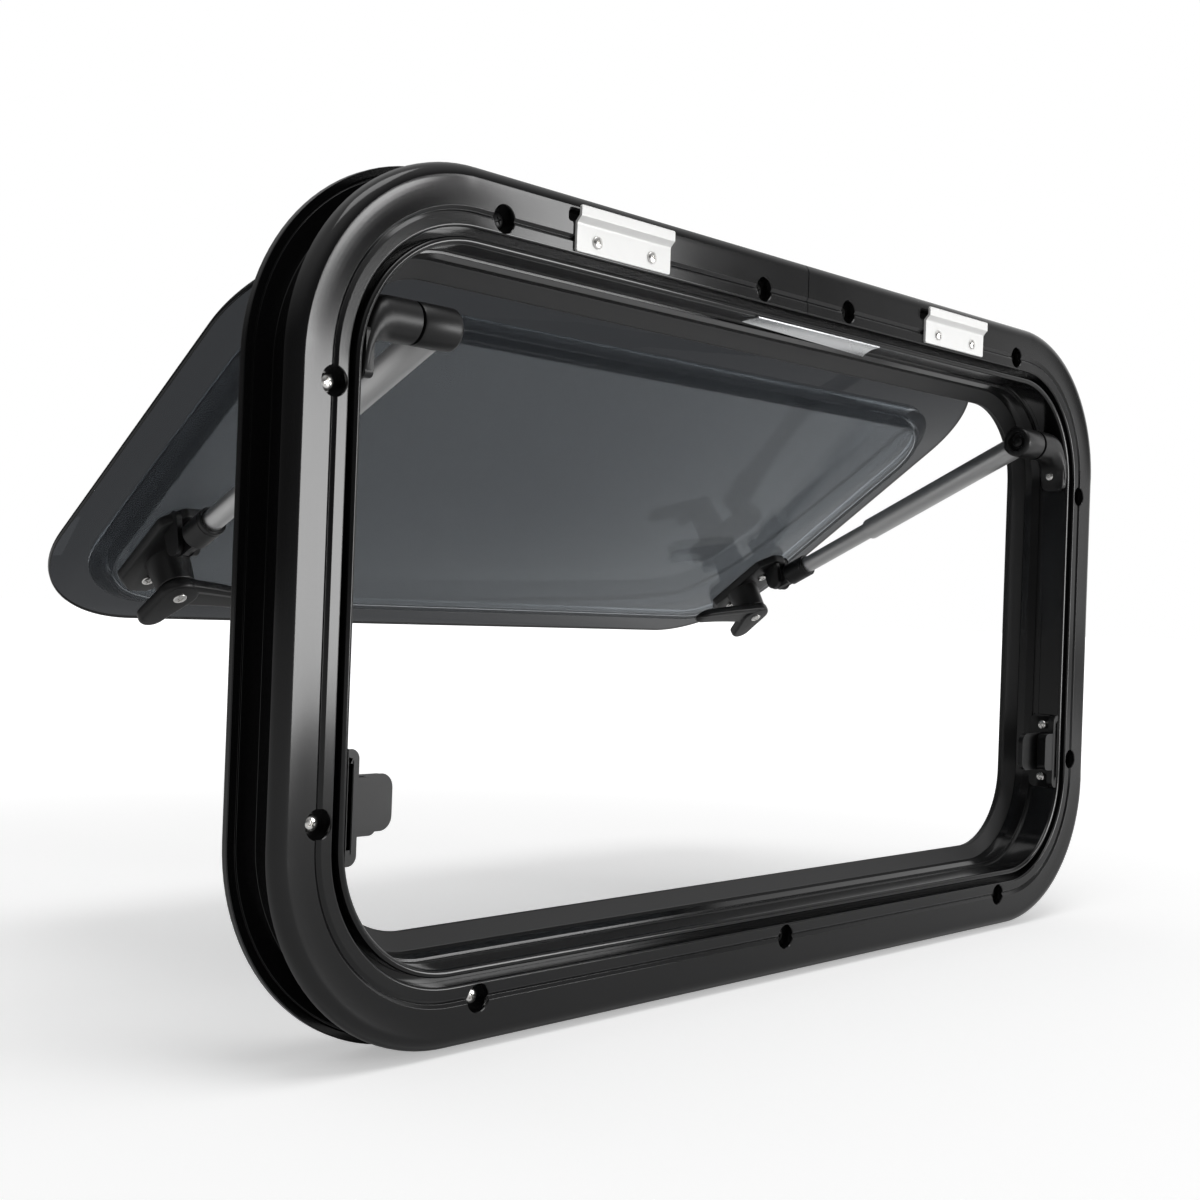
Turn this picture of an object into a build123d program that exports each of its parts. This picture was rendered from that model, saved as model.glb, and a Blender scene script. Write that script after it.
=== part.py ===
# Top-hung caravan window, shown held open by its two telescopic stays.
# Millimetres. +X right as seen from inside, +Y outwards, +Z up. Everything is drawn about the
# centre of the opening; save() then moves it up, so that the origin lies at the bottom centre of
# the flange's back face, where the window seats on the vehicle's skin.
from build123d import *
import math
import os

# Opening line: the rounded rectangle through the clamp ring's screw holes, seen from inside
line_half_width = 337.0
line_half_height = 187.0
line_radius = 80.0

# Depths along Y, from the inside face of the ring to the outside of the flange
wall_thickness = 26.0
ring_edge_thickness = 7.0
ring_depth_in_cutout = 4.0
flange_thickness = 5.0
ring_face_y = -wall_thickness - ring_edge_thickness
channel_floor_y = -wall_thickness + ring_depth_in_cutout

# Widths across the section, each measured from the screw line, outwards positive
ring_outer_offset = 22.3
ring_inner_offset = -8.0
body_offset = 10.0
flange_offset = 25.0
lip_outer_offset = -12.0
reveal_offset = -16.0
seal_seat_offset = -19.0
aperture_offset = -28.0

# Frame section details
lip_top_y = ring_face_y + 1.0
lip_round = 2.0
ledge_y = -10.5
ledge_step = 1.5
ledge_bow = 0.6
seal_seat_y = 1.0
seal_pocket_width = 4.0
seal_lip_y = 7.0
seal_bulb_radius = 3.0
seal_pane_gap = 0.3
flange_round = 2.0
butyl_groove_width = 1.2
butyl_groove_depth = 1.0
butyl_groove_offset = 21.3

# Clamp ring details
ring_round = 6.5
ring_inner_round = 1.2
vee_width = 3.6
vee_depth = 1.2
ring_seam = 0.4
frame_seam_x = 25.0
frame_seam_width = 0.3
frame_seam_depth = 0.6
access_hole_radius = 6.8
access_hole_depth = 7.0
screw_hole_radius = 2.2
top_hole_inset = 96.0
top_inner_hole_x = 41.0
bottom_hole_inset = 97.0
side_hole_inset = 90.0

# Ring screws
screw_shank_radius = 2.0
screw_head_radius = 4.0
screw_head_height = 2.4
screw_length = 16.0

# Hanger clips
clip_inset = 178.5
clip_length = 70.0
clip_sheet = 1.5
clip_plate_bottom = -6.5
clip_plate_top = 9.0
clip_lip_height = 6.0
clip_step = 4.0
clip_screw_spacing = 41.0
clip_screw_head_radius = 3.4
clip_screw_head_height = 1.6
clip_screw_length = 9.0
clip_bend_inset = 0.6
clip_slot_length = 82.0
clip_slot_bottom = 8.0
clip_slot_top = 14.0
clip_slot_depth = 3.0

# Splice plate over the frame's own joint
splice_length = 120.0
splice_width = 13.0
splice_sheet = 0.8
splice_sag = 2.5
splice_x = 15.0
splice_inner_y = -33.0

# Hinge and sash
hinge_y = 12.0
hinge_above_line = 1.0
hinge_end_inset = 112.0
open_angle = 55.0
pane_thickness = 3.0
pane_side_inset = 12.0
pane_bottom_inset = 21.0
pane_top_s = 11.0
pane_radius = 82.0
pan_margin = 22.0
pan_top_s = 52.0
pan_height = 10.0
pan_wall = 2.5
pan_radius = 60.0
pan_slope = 8.0
pan_rim = 8.0
bead_radius = 3.5
bead_clearance = 0.4
rail_wall = 2.0
rail_leg_height = 20.0
rail_mouth = 20.0
rail_mouth_drop = 1.5
rail_foot_drop = 2.0
strip_thickness = 2.0
strip_leg_end_s = 24.0

# Stays
bracket_drop = 31.0
bracket_plate_y = -31.0
bracket_plate_width = 20.0
fitting_plate = 3.0
fitting_rim_height = 6.0
fitting_rim_width = 4.5
plate_edge_clearance = 1.5
bracket_end_round = 7.0
bracket_screw_lift = 11.0
stay_inset = 48.8
stay_pivot_y = -22.0
stay_pivot_drop = 56.0
tube_radius = 8.0
tube_bore_radius = 6.6
rod_radius = 6.25
tube_end_to_foot = 95.5
swivel_radius = 10.5
swivel_inner_reach = 9.0
swivel_outer_reach = 14.0
swivel_gap = 2.0
swivel_core_radius = 8.3
swivel_recess_radius = 6.5
swivel_recess_depth = 4.0
swivel_bolt_radius = 3.6
swivel_bolt_height = 2.5
swivel_round = 1.2
swivel_neck_radius = 6.3
swivel_neck_length = 22.0
sleeve_radius = 8.5
sleeve_start = 12.0
sleeve_length = 20.0
sleeve_socket_depth = 14.0
tang_thickness = 6.0
tang_radius = 6.0
tang_eye_radius = 2.5
rod_inside_tube = 40.0

# Latches
latch_inset = 56.8
latch_above_striker = 9.0
stay_foot_above_latch = 30.0
stay_foot_height = 26.0
base_plate_thickness = 6.0
base_half_width = 17.0
base_above_latch = 44.0
base_below_latch = 32.0
base_chamfer = 11.0
base_beside_latch = 4.0
base_edge_chamfer = 1.2
base_screw_places = (-21.0, 19.0)
base_screw_beside_latch = 3.5
base_screw_radius = 3.8
base_screw_height = 1.8
barrel_foot_radius = 13.0
barrel_notch_depth = 3.5
ear_thickness = 4.0
ear_gap = 0.5
ear_length = 9.0
barrel_radius = 11.0
lever_bottom_h = 34.5
lever_top_h = 41.5
lever_chamfer = 1.2
lever_gap = 0.4
lever_reach = 62.0
lever_tip_radius = 7.5
lever_hub_radius = 12.0
arm_middle_radius = 9.0
lever_droop = 8.0
lobe_reach = 23.0
lobe_radius = 8.5
lobe_angle = 15.0
lever_screw_radius = 4.0
lever_screw_height = 1.6

# Strikers
striker_lift = 96.0
striker_length = 52.0
striker_plate_outer_y = -11.0
striker_screw_offset = 19.0
striker_screw_y = -20.0
striker_inner_y = -31.0
striker_tongue_width = 26.0
block_reach = 16.8
block_depth = 7.0
block_round = 4.0
tongue_reach = 32.8
tongue_outer_y = -17.5
tongue_thickness = 4.0
tongue_round = 6.5
fitting_screw_radius = 3.2
fitting_screw_height = 1.4
spot_face_radius = 4.0
spot_face_depth = 0.3
seat_gap = 0.2

os.makedirs("parts", exist_ok=True)

# Places that follow from the sizes above; the suffix s is a distance down the pane from the hinge
jamb_x = line_half_width + reveal_offset - seat_gap
screw_seat_x = jamb_x - fitting_plate + spot_face_depth
top_hole_x = (line_half_width - top_hole_inset, top_inner_hole_x)
bottom_hole_x = (line_half_width - bottom_hole_inset, 0.0)
side_hole_z = line_half_height - side_hole_inset
clip_x = line_half_width - clip_inset
hinge_z = line_half_height + hinge_above_line
hinge_length = 2 * (line_half_width - hinge_end_inset)
pane_half_width = line_half_width - pane_side_inset
pane_bottom_s = hinge_z + line_half_height - pane_bottom_inset
stay_x = jamb_x - stay_inset
stay_pivot_z = line_half_height - stay_pivot_drop
bracket_bottom_z = stay_pivot_z - bracket_drop
bracket_screw_z = bracket_bottom_z + bracket_screw_lift
swivel_inner_x = stay_x - swivel_inner_reach
swivel_outer_x = stay_x + swivel_outer_reach
striker_z = striker_lift - line_half_height
block_tip_x = jamb_x - block_reach
tongue_tip_x = jamb_x - tongue_reach
latch_x = jamb_x - latch_inset
latch_s = hinge_z - striker_z - latch_above_striker
stay_foot_s = latch_s - stay_foot_above_latch
ear_near_s = stay_foot_s - ear_length
base_x = latch_x + base_beside_latch
base_top_s = latch_s - base_above_latch
base_bottom_s = latch_s + base_below_latch
base_screw_x = latch_x + base_screw_beside_latch
base_screw_s = [latch_s + place for place in base_screw_places]

theta = math.radians(open_angle)
inward = Vector(0, -math.cos(theta), -math.sin(theta))
downwards = Vector(0, math.sin(theta), -math.cos(theta))
hinge_point = Vector(0, hinge_y, hinge_z)
sash_plane = Plane(origin=hinge_point, x_dir=(1, 0, 0), z_dir=inward)
stay_pivot = Vector(stay_x, stay_pivot_y, stay_pivot_z)
stay_foot = hinge_point + downwards * stay_foot_s + inward * stay_foot_height + Vector(stay_x, 0, 0)
stay_reach = (stay_foot - stay_pivot).length
tube_length = stay_reach - tube_end_to_foot
stay_plane = Plane(origin=stay_pivot, x_dir=(1, 0, 0), z_dir=stay_foot - stay_pivot)
foot_plane = Plane(origin=stay_foot, x_dir=stay_foot - stay_pivot, z_dir=(-1, 0, 0))
across_plane = Plane(origin=(0, 0, 0), x_dir=(0, 0, 1), z_dir=(-1, 0, 0))
seat_middle = Vector(0, 0, -line_half_height - (body_offset + flange_offset) / 2)
hole_centres = (
    [(sign * x, line_half_height) for x in top_hole_x for sign in (-1, 1)]
    + [(sign * bottom_hole_x[0], -line_half_height) for sign in (-1, 1)]
    + [(bottom_hole_x[1], -line_half_height)]
    + [(side * line_half_width, sign * side_hole_z) for side in (-1, 1) for sign in (-1, 1)]
)
right_clip_screws = [
    (clip_x - clip_screw_spacing / 2, line_half_height),
    (clip_x + clip_screw_spacing / 2, line_half_height),
]


def level(y):
    """Plane parallel to the wall at a depth, drawn with X to the right and Z up."""
    return Plane.XZ.offset(-y)


def sash_level(height):
    """Plane parallel to the open pane, at a height above its inner face."""
    return sash_plane.offset(height)


def across_sash(x):
    """Plane across the open pane: distance from the hinge to the right, height inwards up."""
    return Plane(origin=hinge_point + Vector(x, 0, 0), x_dir=downwards, z_dir=(-1, 0, 0))


def save(solid, name):
    """Move a finished piece to the row's origin, label it and write it."""
    placed = Pos(-seat_middle) * solid
    placed.label = name
    export_step(placed, f"parts/{name}.step")


def save_pair(right_solid, name):
    """Write a right-hand piece and its mirror image on the left."""
    save(mirror(right_solid, about=Plane.YZ), name + "_left")
    save(right_solid, name + "_right")


def outline(offset, mode=Mode.ADD):
    """Rounded rectangle at an offset from the screw line, in the current sketch."""
    return RectangleRounded(
        2 * (line_half_width + offset),
        2 * (line_half_height + offset),
        line_radius + offset,
        mode=mode,
    )


def opening_path():
    """Closed path along the screw line, starting at the top centre."""
    w = line_half_width
    h = line_half_height
    r = line_radius
    with BuildLine(Plane.XZ) as path:
        top = Line((0, h), (w - r, h))
        corner = TangentArc(top @ 1, (w, h - r), tangent=top % 1)
        side = Line(corner @ 1, (w, r - h))
        corner = TangentArc(side @ 1, (w - r, -h), tangent=side % 1)
        bottom = Line(corner @ 1, (r - w, -h))
        corner = TangentArc(bottom @ 1, (-w, r - h), tangent=bottom % 1)
        side = Line(corner @ 1, (-w, h - r))
        corner = TangentArc(side @ 1, (r - w, h), tangent=side % 1)
        Line(corner @ 1, (0, h))
    return path.wire()


screw_line = opening_path()
section_plane = Plane(origin=(0, 0, line_half_height), x_dir=(0, 0, 1), z_dir=(-1, 0, 0))

# Outer frame: lip, screw channel, stepped reveal and the flange that seats on the skin
ledge_middle_offset = (seal_seat_offset + reveal_offset - ledge_step) / 2
with BuildPart() as outer_frame:
    with BuildSketch(section_plane):
        with BuildLine():
            Polyline(
                (lip_outer_offset, lip_top_y + lip_round),
                (lip_outer_offset, channel_floor_y),
                (body_offset, channel_floor_y),
                (body_offset, 0),
                (butyl_groove_offset - butyl_groove_width, 0),
                (butyl_groove_offset - butyl_groove_width, butyl_groove_depth),
                (butyl_groove_offset, butyl_groove_depth),
                (butyl_groove_offset, 0),
                (flange_offset, 0),
                (flange_offset, flange_thickness - flange_round),
            )
            RadiusArc(
                (flange_offset, flange_thickness - flange_round),
                (flange_offset - flange_round, flange_thickness),
                -flange_round,
            )
            Polyline(
                (flange_offset - flange_round, flange_thickness),
                (seal_seat_offset + seal_pocket_width, flange_thickness),
                (seal_seat_offset + seal_pocket_width, seal_seat_y),
                (seal_seat_offset, seal_seat_y),
            )
            ThreePointArc(
                (seal_seat_offset, seal_seat_y),
                (ledge_middle_offset - ledge_bow, (seal_seat_y + ledge_y) / 2),
                (reveal_offset - ledge_step, ledge_y),
            )
            Polyline(
                (reveal_offset - ledge_step, ledge_y),
                (reveal_offset, ledge_y),
                (reveal_offset, lip_top_y + lip_round),
            )
            ThreePointArc(
                (reveal_offset, lip_top_y + lip_round),
                ((reveal_offset + lip_outer_offset) / 2, lip_top_y),
                (lip_outer_offset, lip_top_y + lip_round),
            )
        make_face()
    sweep(path=screw_line)
    with BuildSketch(level(channel_floor_y)):
        with Locations(*hole_centres):
            Circle(screw_hole_radius)
    extrude(amount=-screw_length, mode=Mode.SUBTRACT)
    with BuildSketch(level(lip_top_y)):
        with Locations((frame_seam_x, line_half_height + reveal_offset)):
            Rectangle(frame_seam_width, 2 * frame_seam_depth)
    extrude(amount=lip_top_y - ledge_y, mode=Mode.SUBTRACT)
save(outer_frame.part, "outer_frame")

# Clamp ring: one extrusion bent round, its ends butted at the top centre
clip_slot_z = line_half_height + (clip_slot_bottom + clip_slot_top) / 2
with BuildPart() as clamp_ring:
    with BuildSketch(section_plane):
        with BuildLine():
            Polyline(
                (ring_inner_offset, channel_floor_y),
                (ring_inner_offset, ring_face_y + ring_inner_round),
                (ring_inner_offset + ring_inner_round, ring_face_y),
                (-vee_width / 2, ring_face_y),
                (0, ring_face_y + vee_depth),
                (vee_width / 2, ring_face_y),
                (ring_outer_offset - ring_round, ring_face_y),
            )
            RadiusArc(
                (ring_outer_offset - ring_round, ring_face_y),
                (ring_outer_offset, ring_face_y + ring_round),
                -ring_round,
            )
            Polyline(
                (ring_outer_offset, ring_face_y + ring_round),
                (ring_outer_offset, -wall_thickness),
                (body_offset, -wall_thickness),
                (body_offset, channel_floor_y),
                (ring_inner_offset, channel_floor_y),
            )
        make_face()
    sweep(path=screw_line)
    with BuildSketch(level(ring_face_y)):
        with Locations(*hole_centres):
            Circle(access_hole_radius)
    extrude(amount=-access_hole_depth, mode=Mode.SUBTRACT)
    with BuildSketch(level(ring_face_y)):
        with Locations(*hole_centres):
            Circle(screw_hole_radius)
    extrude(amount=ring_face_y - channel_floor_y, mode=Mode.SUBTRACT)
    with BuildSketch(level(ring_face_y)):
        with Locations(*right_clip_screws, *[(-x, z) for x, z in right_clip_screws]):
            Circle(screw_shank_radius)
    extrude(amount=-clip_screw_length, mode=Mode.SUBTRACT)
    with BuildSketch(level(ring_face_y)):
        with Locations((0, line_half_height)):
            Rectangle(ring_seam, 2 * ring_outer_offset + vee_width)
    extrude(amount=ring_face_y - channel_floor_y, mode=Mode.SUBTRACT)
    with BuildSketch(level(ring_face_y)):
        with Locations(*[(sign * clip_x, clip_slot_z) for sign in (-1, 1)]):
            RectangleRounded(clip_slot_length, clip_slot_top - clip_slot_bottom, 2)
    extrude(amount=-clip_slot_depth, mode=Mode.SUBTRACT)
save(clamp_ring.part, "clamp_ring")

# Ring screws, one in each access hole
with BuildPart() as ring_screws:
    with BuildSketch(level(ring_face_y + access_hole_depth)):
        with Locations(*hole_centres):
            Circle(screw_head_radius)
    extrude(amount=screw_head_height)
    with BuildSketch(level(ring_face_y + access_hole_depth)):
        with Locations(*hole_centres):
            Circle(screw_shank_radius)
    extrude(amount=-screw_length)
save(ring_screws.part, "ring_screws")

# Rubber seal: inner lip round the aperture and the bulb that the pane closes on
seal_top_y = hinge_y - seal_pane_gap
seal_outer_offset = seal_seat_offset + seal_pocket_width - seat_gap
with BuildPart() as frame_seal:
    with BuildSketch(section_plane):
        with BuildLine():
            Polyline(
                (seal_outer_offset, seal_seat_y),
                (seal_seat_offset, seal_seat_y),
                (aperture_offset + 0.6, seal_lip_y - 0.8),
                (aperture_offset, seal_lip_y),
                (aperture_offset + 0.8, seal_lip_y + 1.0),
                (aperture_offset + 0.8, seal_top_y - seal_bulb_radius),
            )
            RadiusArc(
                (aperture_offset + 0.8, seal_top_y - seal_bulb_radius),
                (aperture_offset + 0.8 + 2 * seal_bulb_radius, seal_top_y - seal_bulb_radius),
                seal_bulb_radius,
            )
            Polyline(
                (aperture_offset + 0.8 + 2 * seal_bulb_radius, seal_top_y - seal_bulb_radius),
                (aperture_offset + 0.8 + 2 * seal_bulb_radius, flange_thickness + 2.0),
                (seal_outer_offset, flange_thickness + 0.6),
                (seal_outer_offset, seal_seat_y),
            )
        make_face()
    sweep(path=screw_line)
save(frame_seal.part, "frame_seal")

# Hinge rail: open socket for the sash's bead, on a leg that lies on the flange
socket_radius = bead_radius + bead_clearance
with BuildPart() as hinge_rail:
    with BuildSketch(across_plane):
        with Locations((hinge_z, hinge_y)):
            Circle(socket_radius + rail_wall)
        with BuildLine():
            Polyline(
                (hinge_z - rail_foot_drop, flange_thickness),
                (hinge_z + rail_leg_height, flange_thickness),
                (hinge_z + rail_leg_height, flange_thickness + rail_wall),
                (hinge_z + socket_radius + rail_wall, flange_thickness + rail_wall),
                (hinge_z + socket_radius, hinge_y),
                (hinge_z - rail_foot_drop, hinge_y),
                close=True,
            )
        make_face()
        with Locations((hinge_z, hinge_y)):
            Circle(socket_radius, mode=Mode.SUBTRACT)
        with BuildLine():
            Polyline(
                (hinge_z, hinge_y),
                (hinge_z - rail_mouth, hinge_y - rail_mouth_drop),
                (hinge_z - rail_mouth, hinge_y + rail_mouth),
                (hinge_z + rail_mouth / 4, hinge_y + rail_mouth),
                close=True,
            )
        make_face(mode=Mode.SUBTRACT)
    extrude(amount=hinge_length / 2, both=True)
save(hinge_rail.part, "hinge_rail")

# Sash hinge strip: bead, neck and the leg bonded to the outside of the pane
with BuildPart() as hinge_strip:
    with BuildSketch(across_sash(0)):
        Circle(bead_radius)
        with BuildLine():
            Polyline(
                (0, 0),
                (pane_top_s - seat_gap, 0),
                (pane_top_s - seat_gap, -pane_thickness),
                (strip_leg_end_s, -pane_thickness),
                (strip_leg_end_s, -pane_thickness - strip_thickness),
                (pane_top_s - strip_thickness, -pane_thickness - strip_thickness),
                (pane_top_s - strip_thickness, -strip_thickness),
                (0, -strip_thickness),
                close=True,
            )
        make_face()
    extrude(amount=hinge_length / 2, both=True)
save(hinge_strip.part, "hinge_strip")

# Outer pane of tinted acrylic
pane_middle_s = (pane_top_s + pane_bottom_s) / 2
with BuildPart() as outer_pane:
    with BuildSketch(sash_level(0)):
        with Locations((0, -pane_middle_s)):
            RectangleRounded(2 * pane_half_width, pane_bottom_s - pane_top_s, pane_radius)
    extrude(amount=-pane_thickness)
save(outer_pane.part, "outer_pane")

# Inner pane: a moulded pan bonded to the outer one by its rim
pan_half_width = pane_half_width - pan_margin
pan_bottom_s = pane_bottom_s - pan_margin
pan_middle_s = (pan_top_s + pan_bottom_s) / 2
pan_depth = pan_bottom_s - pan_top_s
with BuildPart() as inner_pane:
    with BuildSketch(sash_level(0)):
        with Locations((0, -pan_middle_s)):
            RectangleRounded(2 * pan_half_width, pan_depth, pan_radius)
    extrude(amount=pan_wall)
    with BuildSketch(sash_level(pan_wall)):
        with Locations((0, -pan_middle_s)):
            RectangleRounded(
                2 * (pan_half_width - pan_rim), pan_depth - 2 * pan_rim, pan_radius - pan_rim
            )
    extrude(amount=pan_height - pan_wall, taper=pan_slope)
    cavity_inset = pan_rim + pan_wall
    with BuildSketch(sash_level(0)):
        with Locations((0, -pan_middle_s)):
            RectangleRounded(
                2 * (pan_half_width - cavity_inset),
                pan_depth - 2 * cavity_inset,
                pan_radius - cavity_inset,
            )
    extrude(amount=pan_height - pan_wall, taper=pan_slope, mode=Mode.SUBTRACT)
save(inner_pane.part, "inner_pane")

# Stay brackets: plate and raised rim on the jamb, and a barrel standing inwards
with BuildPart() as stay_bracket:
    with BuildSketch(level(bracket_plate_y)):
        outline(reveal_offset - seat_gap)
        outline(reveal_offset - seat_gap - fitting_plate, mode=Mode.SUBTRACT)
        with Locations((line_half_width, (bracket_bottom_z + stay_pivot_z) / 2)):
            Rectangle(line_radius, stay_pivot_z - bracket_bottom_z, mode=Mode.INTERSECT)
    extrude(amount=-bracket_plate_width)
    with BuildSketch(level(bracket_plate_y)):
        outline(reveal_offset - seat_gap)
        outline(reveal_offset - seat_gap - fitting_rim_height, mode=Mode.SUBTRACT)
        with Locations((line_half_width, (bracket_bottom_z + stay_pivot_z) / 2)):
            Rectangle(line_radius, stay_pivot_z - bracket_bottom_z, mode=Mode.INTERSECT)
    extrude(amount=-fitting_rim_width)
    with BuildSketch(Plane.YZ.offset(swivel_outer_x + swivel_gap)):
        with Locations((stay_pivot_y, stay_pivot_z)):
            Circle(swivel_radius)
    extrude(amount=line_half_width - swivel_outer_x)
    with BuildSketch(Plane.YZ.offset(swivel_outer_x + seat_gap)):
        with Locations((stay_pivot_y, stay_pivot_z)):
            Circle(swivel_core_radius)
    extrude(amount=swivel_gap)
    with BuildSketch(Plane.YZ.offset(swivel_outer_x)):
        with Locations((stay_pivot_y, bracket_bottom_z)):
            RectangleRounded(
                bracket_plate_width + 2 * plate_edge_clearance,
                2 * (stay_pivot_z - bracket_bottom_z),
                bracket_end_round,
                align=(Align.CENTER, Align.MIN),
            )
    extrude(amount=line_half_width - swivel_outer_x, mode=Mode.INTERSECT)
    with BuildSketch(level(ring_face_y)):
        outline(reveal_offset - seat_gap)
    extrude(amount=ring_face_y, mode=Mode.INTERSECT)
    with BuildSketch(Plane.YZ.offset(screw_seat_x)):
        with Locations((striker_screw_y, bracket_screw_z)):
            Circle(spot_face_radius)
    extrude(amount=-fitting_rim_height, mode=Mode.SUBTRACT)
save_pair(stay_bracket.part, "stay_bracket")

# Stay swivels: the turning half of each top barrel, with the neck that plugs into the tube
with BuildPart() as stay_swivel:
    with BuildSketch(Plane.YZ.offset(swivel_inner_x)):
        with Locations((stay_pivot_y, stay_pivot_z)):
            Circle(swivel_radius)
    extrude(amount=swivel_outer_x - swivel_inner_x)
    fillet(stay_swivel.faces().sort_by(Axis.X)[0].edges(), swivel_round)
    with BuildSketch(Plane.YZ.offset(swivel_inner_x)):
        with Locations((stay_pivot_y, stay_pivot_z)):
            Circle(swivel_recess_radius)
            Circle(swivel_bolt_radius, mode=Mode.SUBTRACT)
    extrude(amount=swivel_recess_depth, mode=Mode.SUBTRACT)
    with BuildSketch(Plane.YZ.offset(swivel_inner_x)):
        with Locations((stay_pivot_y, stay_pivot_z)):
            Circle(swivel_bolt_radius)
    extrude(amount=swivel_recess_depth - swivel_bolt_height, mode=Mode.SUBTRACT)
    with BuildSketch(stay_plane.offset(swivel_radius - 2)):
        Circle(swivel_neck_radius)
    extrude(amount=swivel_neck_length - swivel_radius + 2)
save_pair(stay_swivel.part, "stay_swivel")

# Stay tubes: the outer tube saddles on the swivel
with BuildPart() as stay_tube:
    with BuildSketch(stay_plane):
        Circle(tube_radius)
        Circle(tube_bore_radius, mode=Mode.SUBTRACT)
    extrude(amount=tube_length)
    with BuildSketch(Plane.YZ.offset(stay_x - 2 * tube_radius)):
        with Locations((stay_pivot_y, stay_pivot_z)):
            Circle(swivel_radius + seat_gap)
    extrude(amount=4 * tube_radius, mode=Mode.SUBTRACT)
save_pair(stay_tube.part, "stay_tube")

# Stay rods: the inner tube, sliding in the outer one
sleeve_near = stay_reach - sleeve_start - sleeve_length
with BuildPart() as stay_rod:
    with BuildSketch(stay_plane.offset(tube_length - rod_inside_tube)):
        Circle(rod_radius)
    extrude(amount=sleeve_near + sleeve_socket_depth - (tube_length - rod_inside_tube))
save_pair(stay_rod.part, "stay_rod")

# Rod sleeves: end fitting with a flat tang for the foot pin
with BuildPart() as rod_sleeve:
    with BuildSketch(stay_plane.offset(sleeve_near)):
        Circle(sleeve_radius)
    extrude(amount=sleeve_length)
    with BuildSketch(stay_plane.offset(sleeve_near)):
        Circle(rod_radius + seat_gap)
    extrude(amount=sleeve_socket_depth, mode=Mode.SUBTRACT)
    with BuildSketch(foot_plane):
        Circle(tang_radius)
        with Locations((-sleeve_start / 2 - 0.5, 0)):
            Rectangle(sleeve_start + 1, 2 * tang_radius)
        Circle(tang_eye_radius, mode=Mode.SUBTRACT)
    extrude(amount=tang_thickness / 2, both=True)
save_pair(rod_sleeve.part, "rod_sleeve")

# Latch bases: plate on the pan, barrel for the lever and two ears for the stay's foot
ear_offset = tang_thickness / 2 + ear_gap + ear_thickness / 2
plate_middle_h = pan_height + base_plate_thickness / 2
barrel_height = lever_bottom_h - lever_gap - pan_height - base_plate_thickness
barrel_taper = math.degrees(math.atan((barrel_foot_radius - barrel_radius) / barrel_height))
barrel_axis = Axis((0, 0, 0), inward)
with BuildPart() as latch_base:
    with BuildSketch(sash_level(pan_height)):
        with BuildLine():
            Polyline(
                (base_x - base_half_width, -base_top_s - base_chamfer),
                (base_x - base_half_width + base_chamfer, -base_top_s),
                (base_x + base_half_width - base_chamfer, -base_top_s),
                (base_x + base_half_width, -base_top_s - base_chamfer),
                (base_x + base_half_width, -base_bottom_s + base_chamfer),
                (base_x + base_half_width - base_chamfer, -base_bottom_s),
                (base_x - base_half_width + base_chamfer, -base_bottom_s),
                (base_x - base_half_width, -base_bottom_s + base_chamfer),
                close=True,
            )
        make_face()
    extrude(amount=base_plate_thickness)
    chamfer(latch_base.faces().sort_by(barrel_axis)[-1].edges(), base_edge_chamfer)
    with BuildSketch(sash_level(pan_height + base_plate_thickness)):
        with Locations((latch_x, -latch_s)):
            Circle(barrel_foot_radius)
    extrude(amount=barrel_height, taper=barrel_taper)
    with BuildSketch(sash_level(lever_bottom_h - lever_gap)):
        with Locations((latch_x, -latch_s - barrel_radius)):
            Rectangle(barrel_radius, 2 * barrel_radius)
    extrude(amount=-barrel_notch_depth, mode=Mode.SUBTRACT)
    for ear_side in (-1, 1):
        with BuildSketch(across_sash(stay_x + ear_side * ear_offset)):
            with Locations((stay_foot_s, stay_foot_height)):
                Circle(tang_radius)
            with Locations(
                (stay_foot_s, plate_middle_h),
                (ear_near_s, plate_middle_h),
            ):
                Circle(base_plate_thickness / 2)
            make_hull()
        extrude(amount=ear_thickness / 2, both=True)
save_pair(latch_base.part, "latch_base")

# Latch base screws, two in each plate
with BuildPart() as base_screws:
    with BuildSketch(sash_level(pan_height + base_plate_thickness)):
        with Locations(*[(base_screw_x, -s) for s in base_screw_s]):
            Circle(base_screw_radius)
    extrude(amount=base_screw_height)
save_pair(base_screws.part, "base_screws")

# Levers: hub on the barrel, long arched arm towards the middle, short lobe for the striker
lobe_x = latch_x + lobe_reach * math.sin(math.radians(lobe_angle))
lobe_s = latch_s + lobe_reach * math.cos(math.radians(lobe_angle))
arm_middle_x = latch_x - lever_reach / 2
with BuildPart() as latch_lever:
    with BuildSketch(sash_level(lever_bottom_h)):
        with Locations((latch_x, -latch_s)):
            Circle(lever_hub_radius)
        with Locations((arm_middle_x, -latch_s - lever_droop / 4)):
            Circle(arm_middle_radius)
        make_hull()
        with BuildSketch(mode=Mode.PRIVATE) as outer_arm:
            with Locations((arm_middle_x, -latch_s - lever_droop / 4)):
                Circle(arm_middle_radius)
            with Locations((latch_x - lever_reach, -latch_s - lever_droop)):
                Circle(lever_tip_radius)
            make_hull()
        add(outer_arm.sketch)
        with BuildSketch(mode=Mode.PRIVATE) as lobe:
            with Locations((latch_x, -latch_s)):
                Circle(lever_hub_radius)
            with Locations((lobe_x, -lobe_s)):
                Circle(lobe_radius)
            make_hull()
        add(lobe.sketch)
    extrude(amount=lever_top_h - lever_bottom_h)
    chamfer(latch_lever.faces().sort_by(barrel_axis)[-1].edges(), lever_chamfer)
save_pair(latch_lever.part, "latch_lever")

# Lever screws, the silver heads on the levers
with BuildPart() as lever_screw:
    with BuildSketch(sash_level(lever_top_h)):
        with Locations((latch_x, -latch_s)):
            Circle(lever_screw_radius)
    extrude(amount=lever_screw_height)
save_pair(lever_screw.part, "lever_screw")

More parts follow.
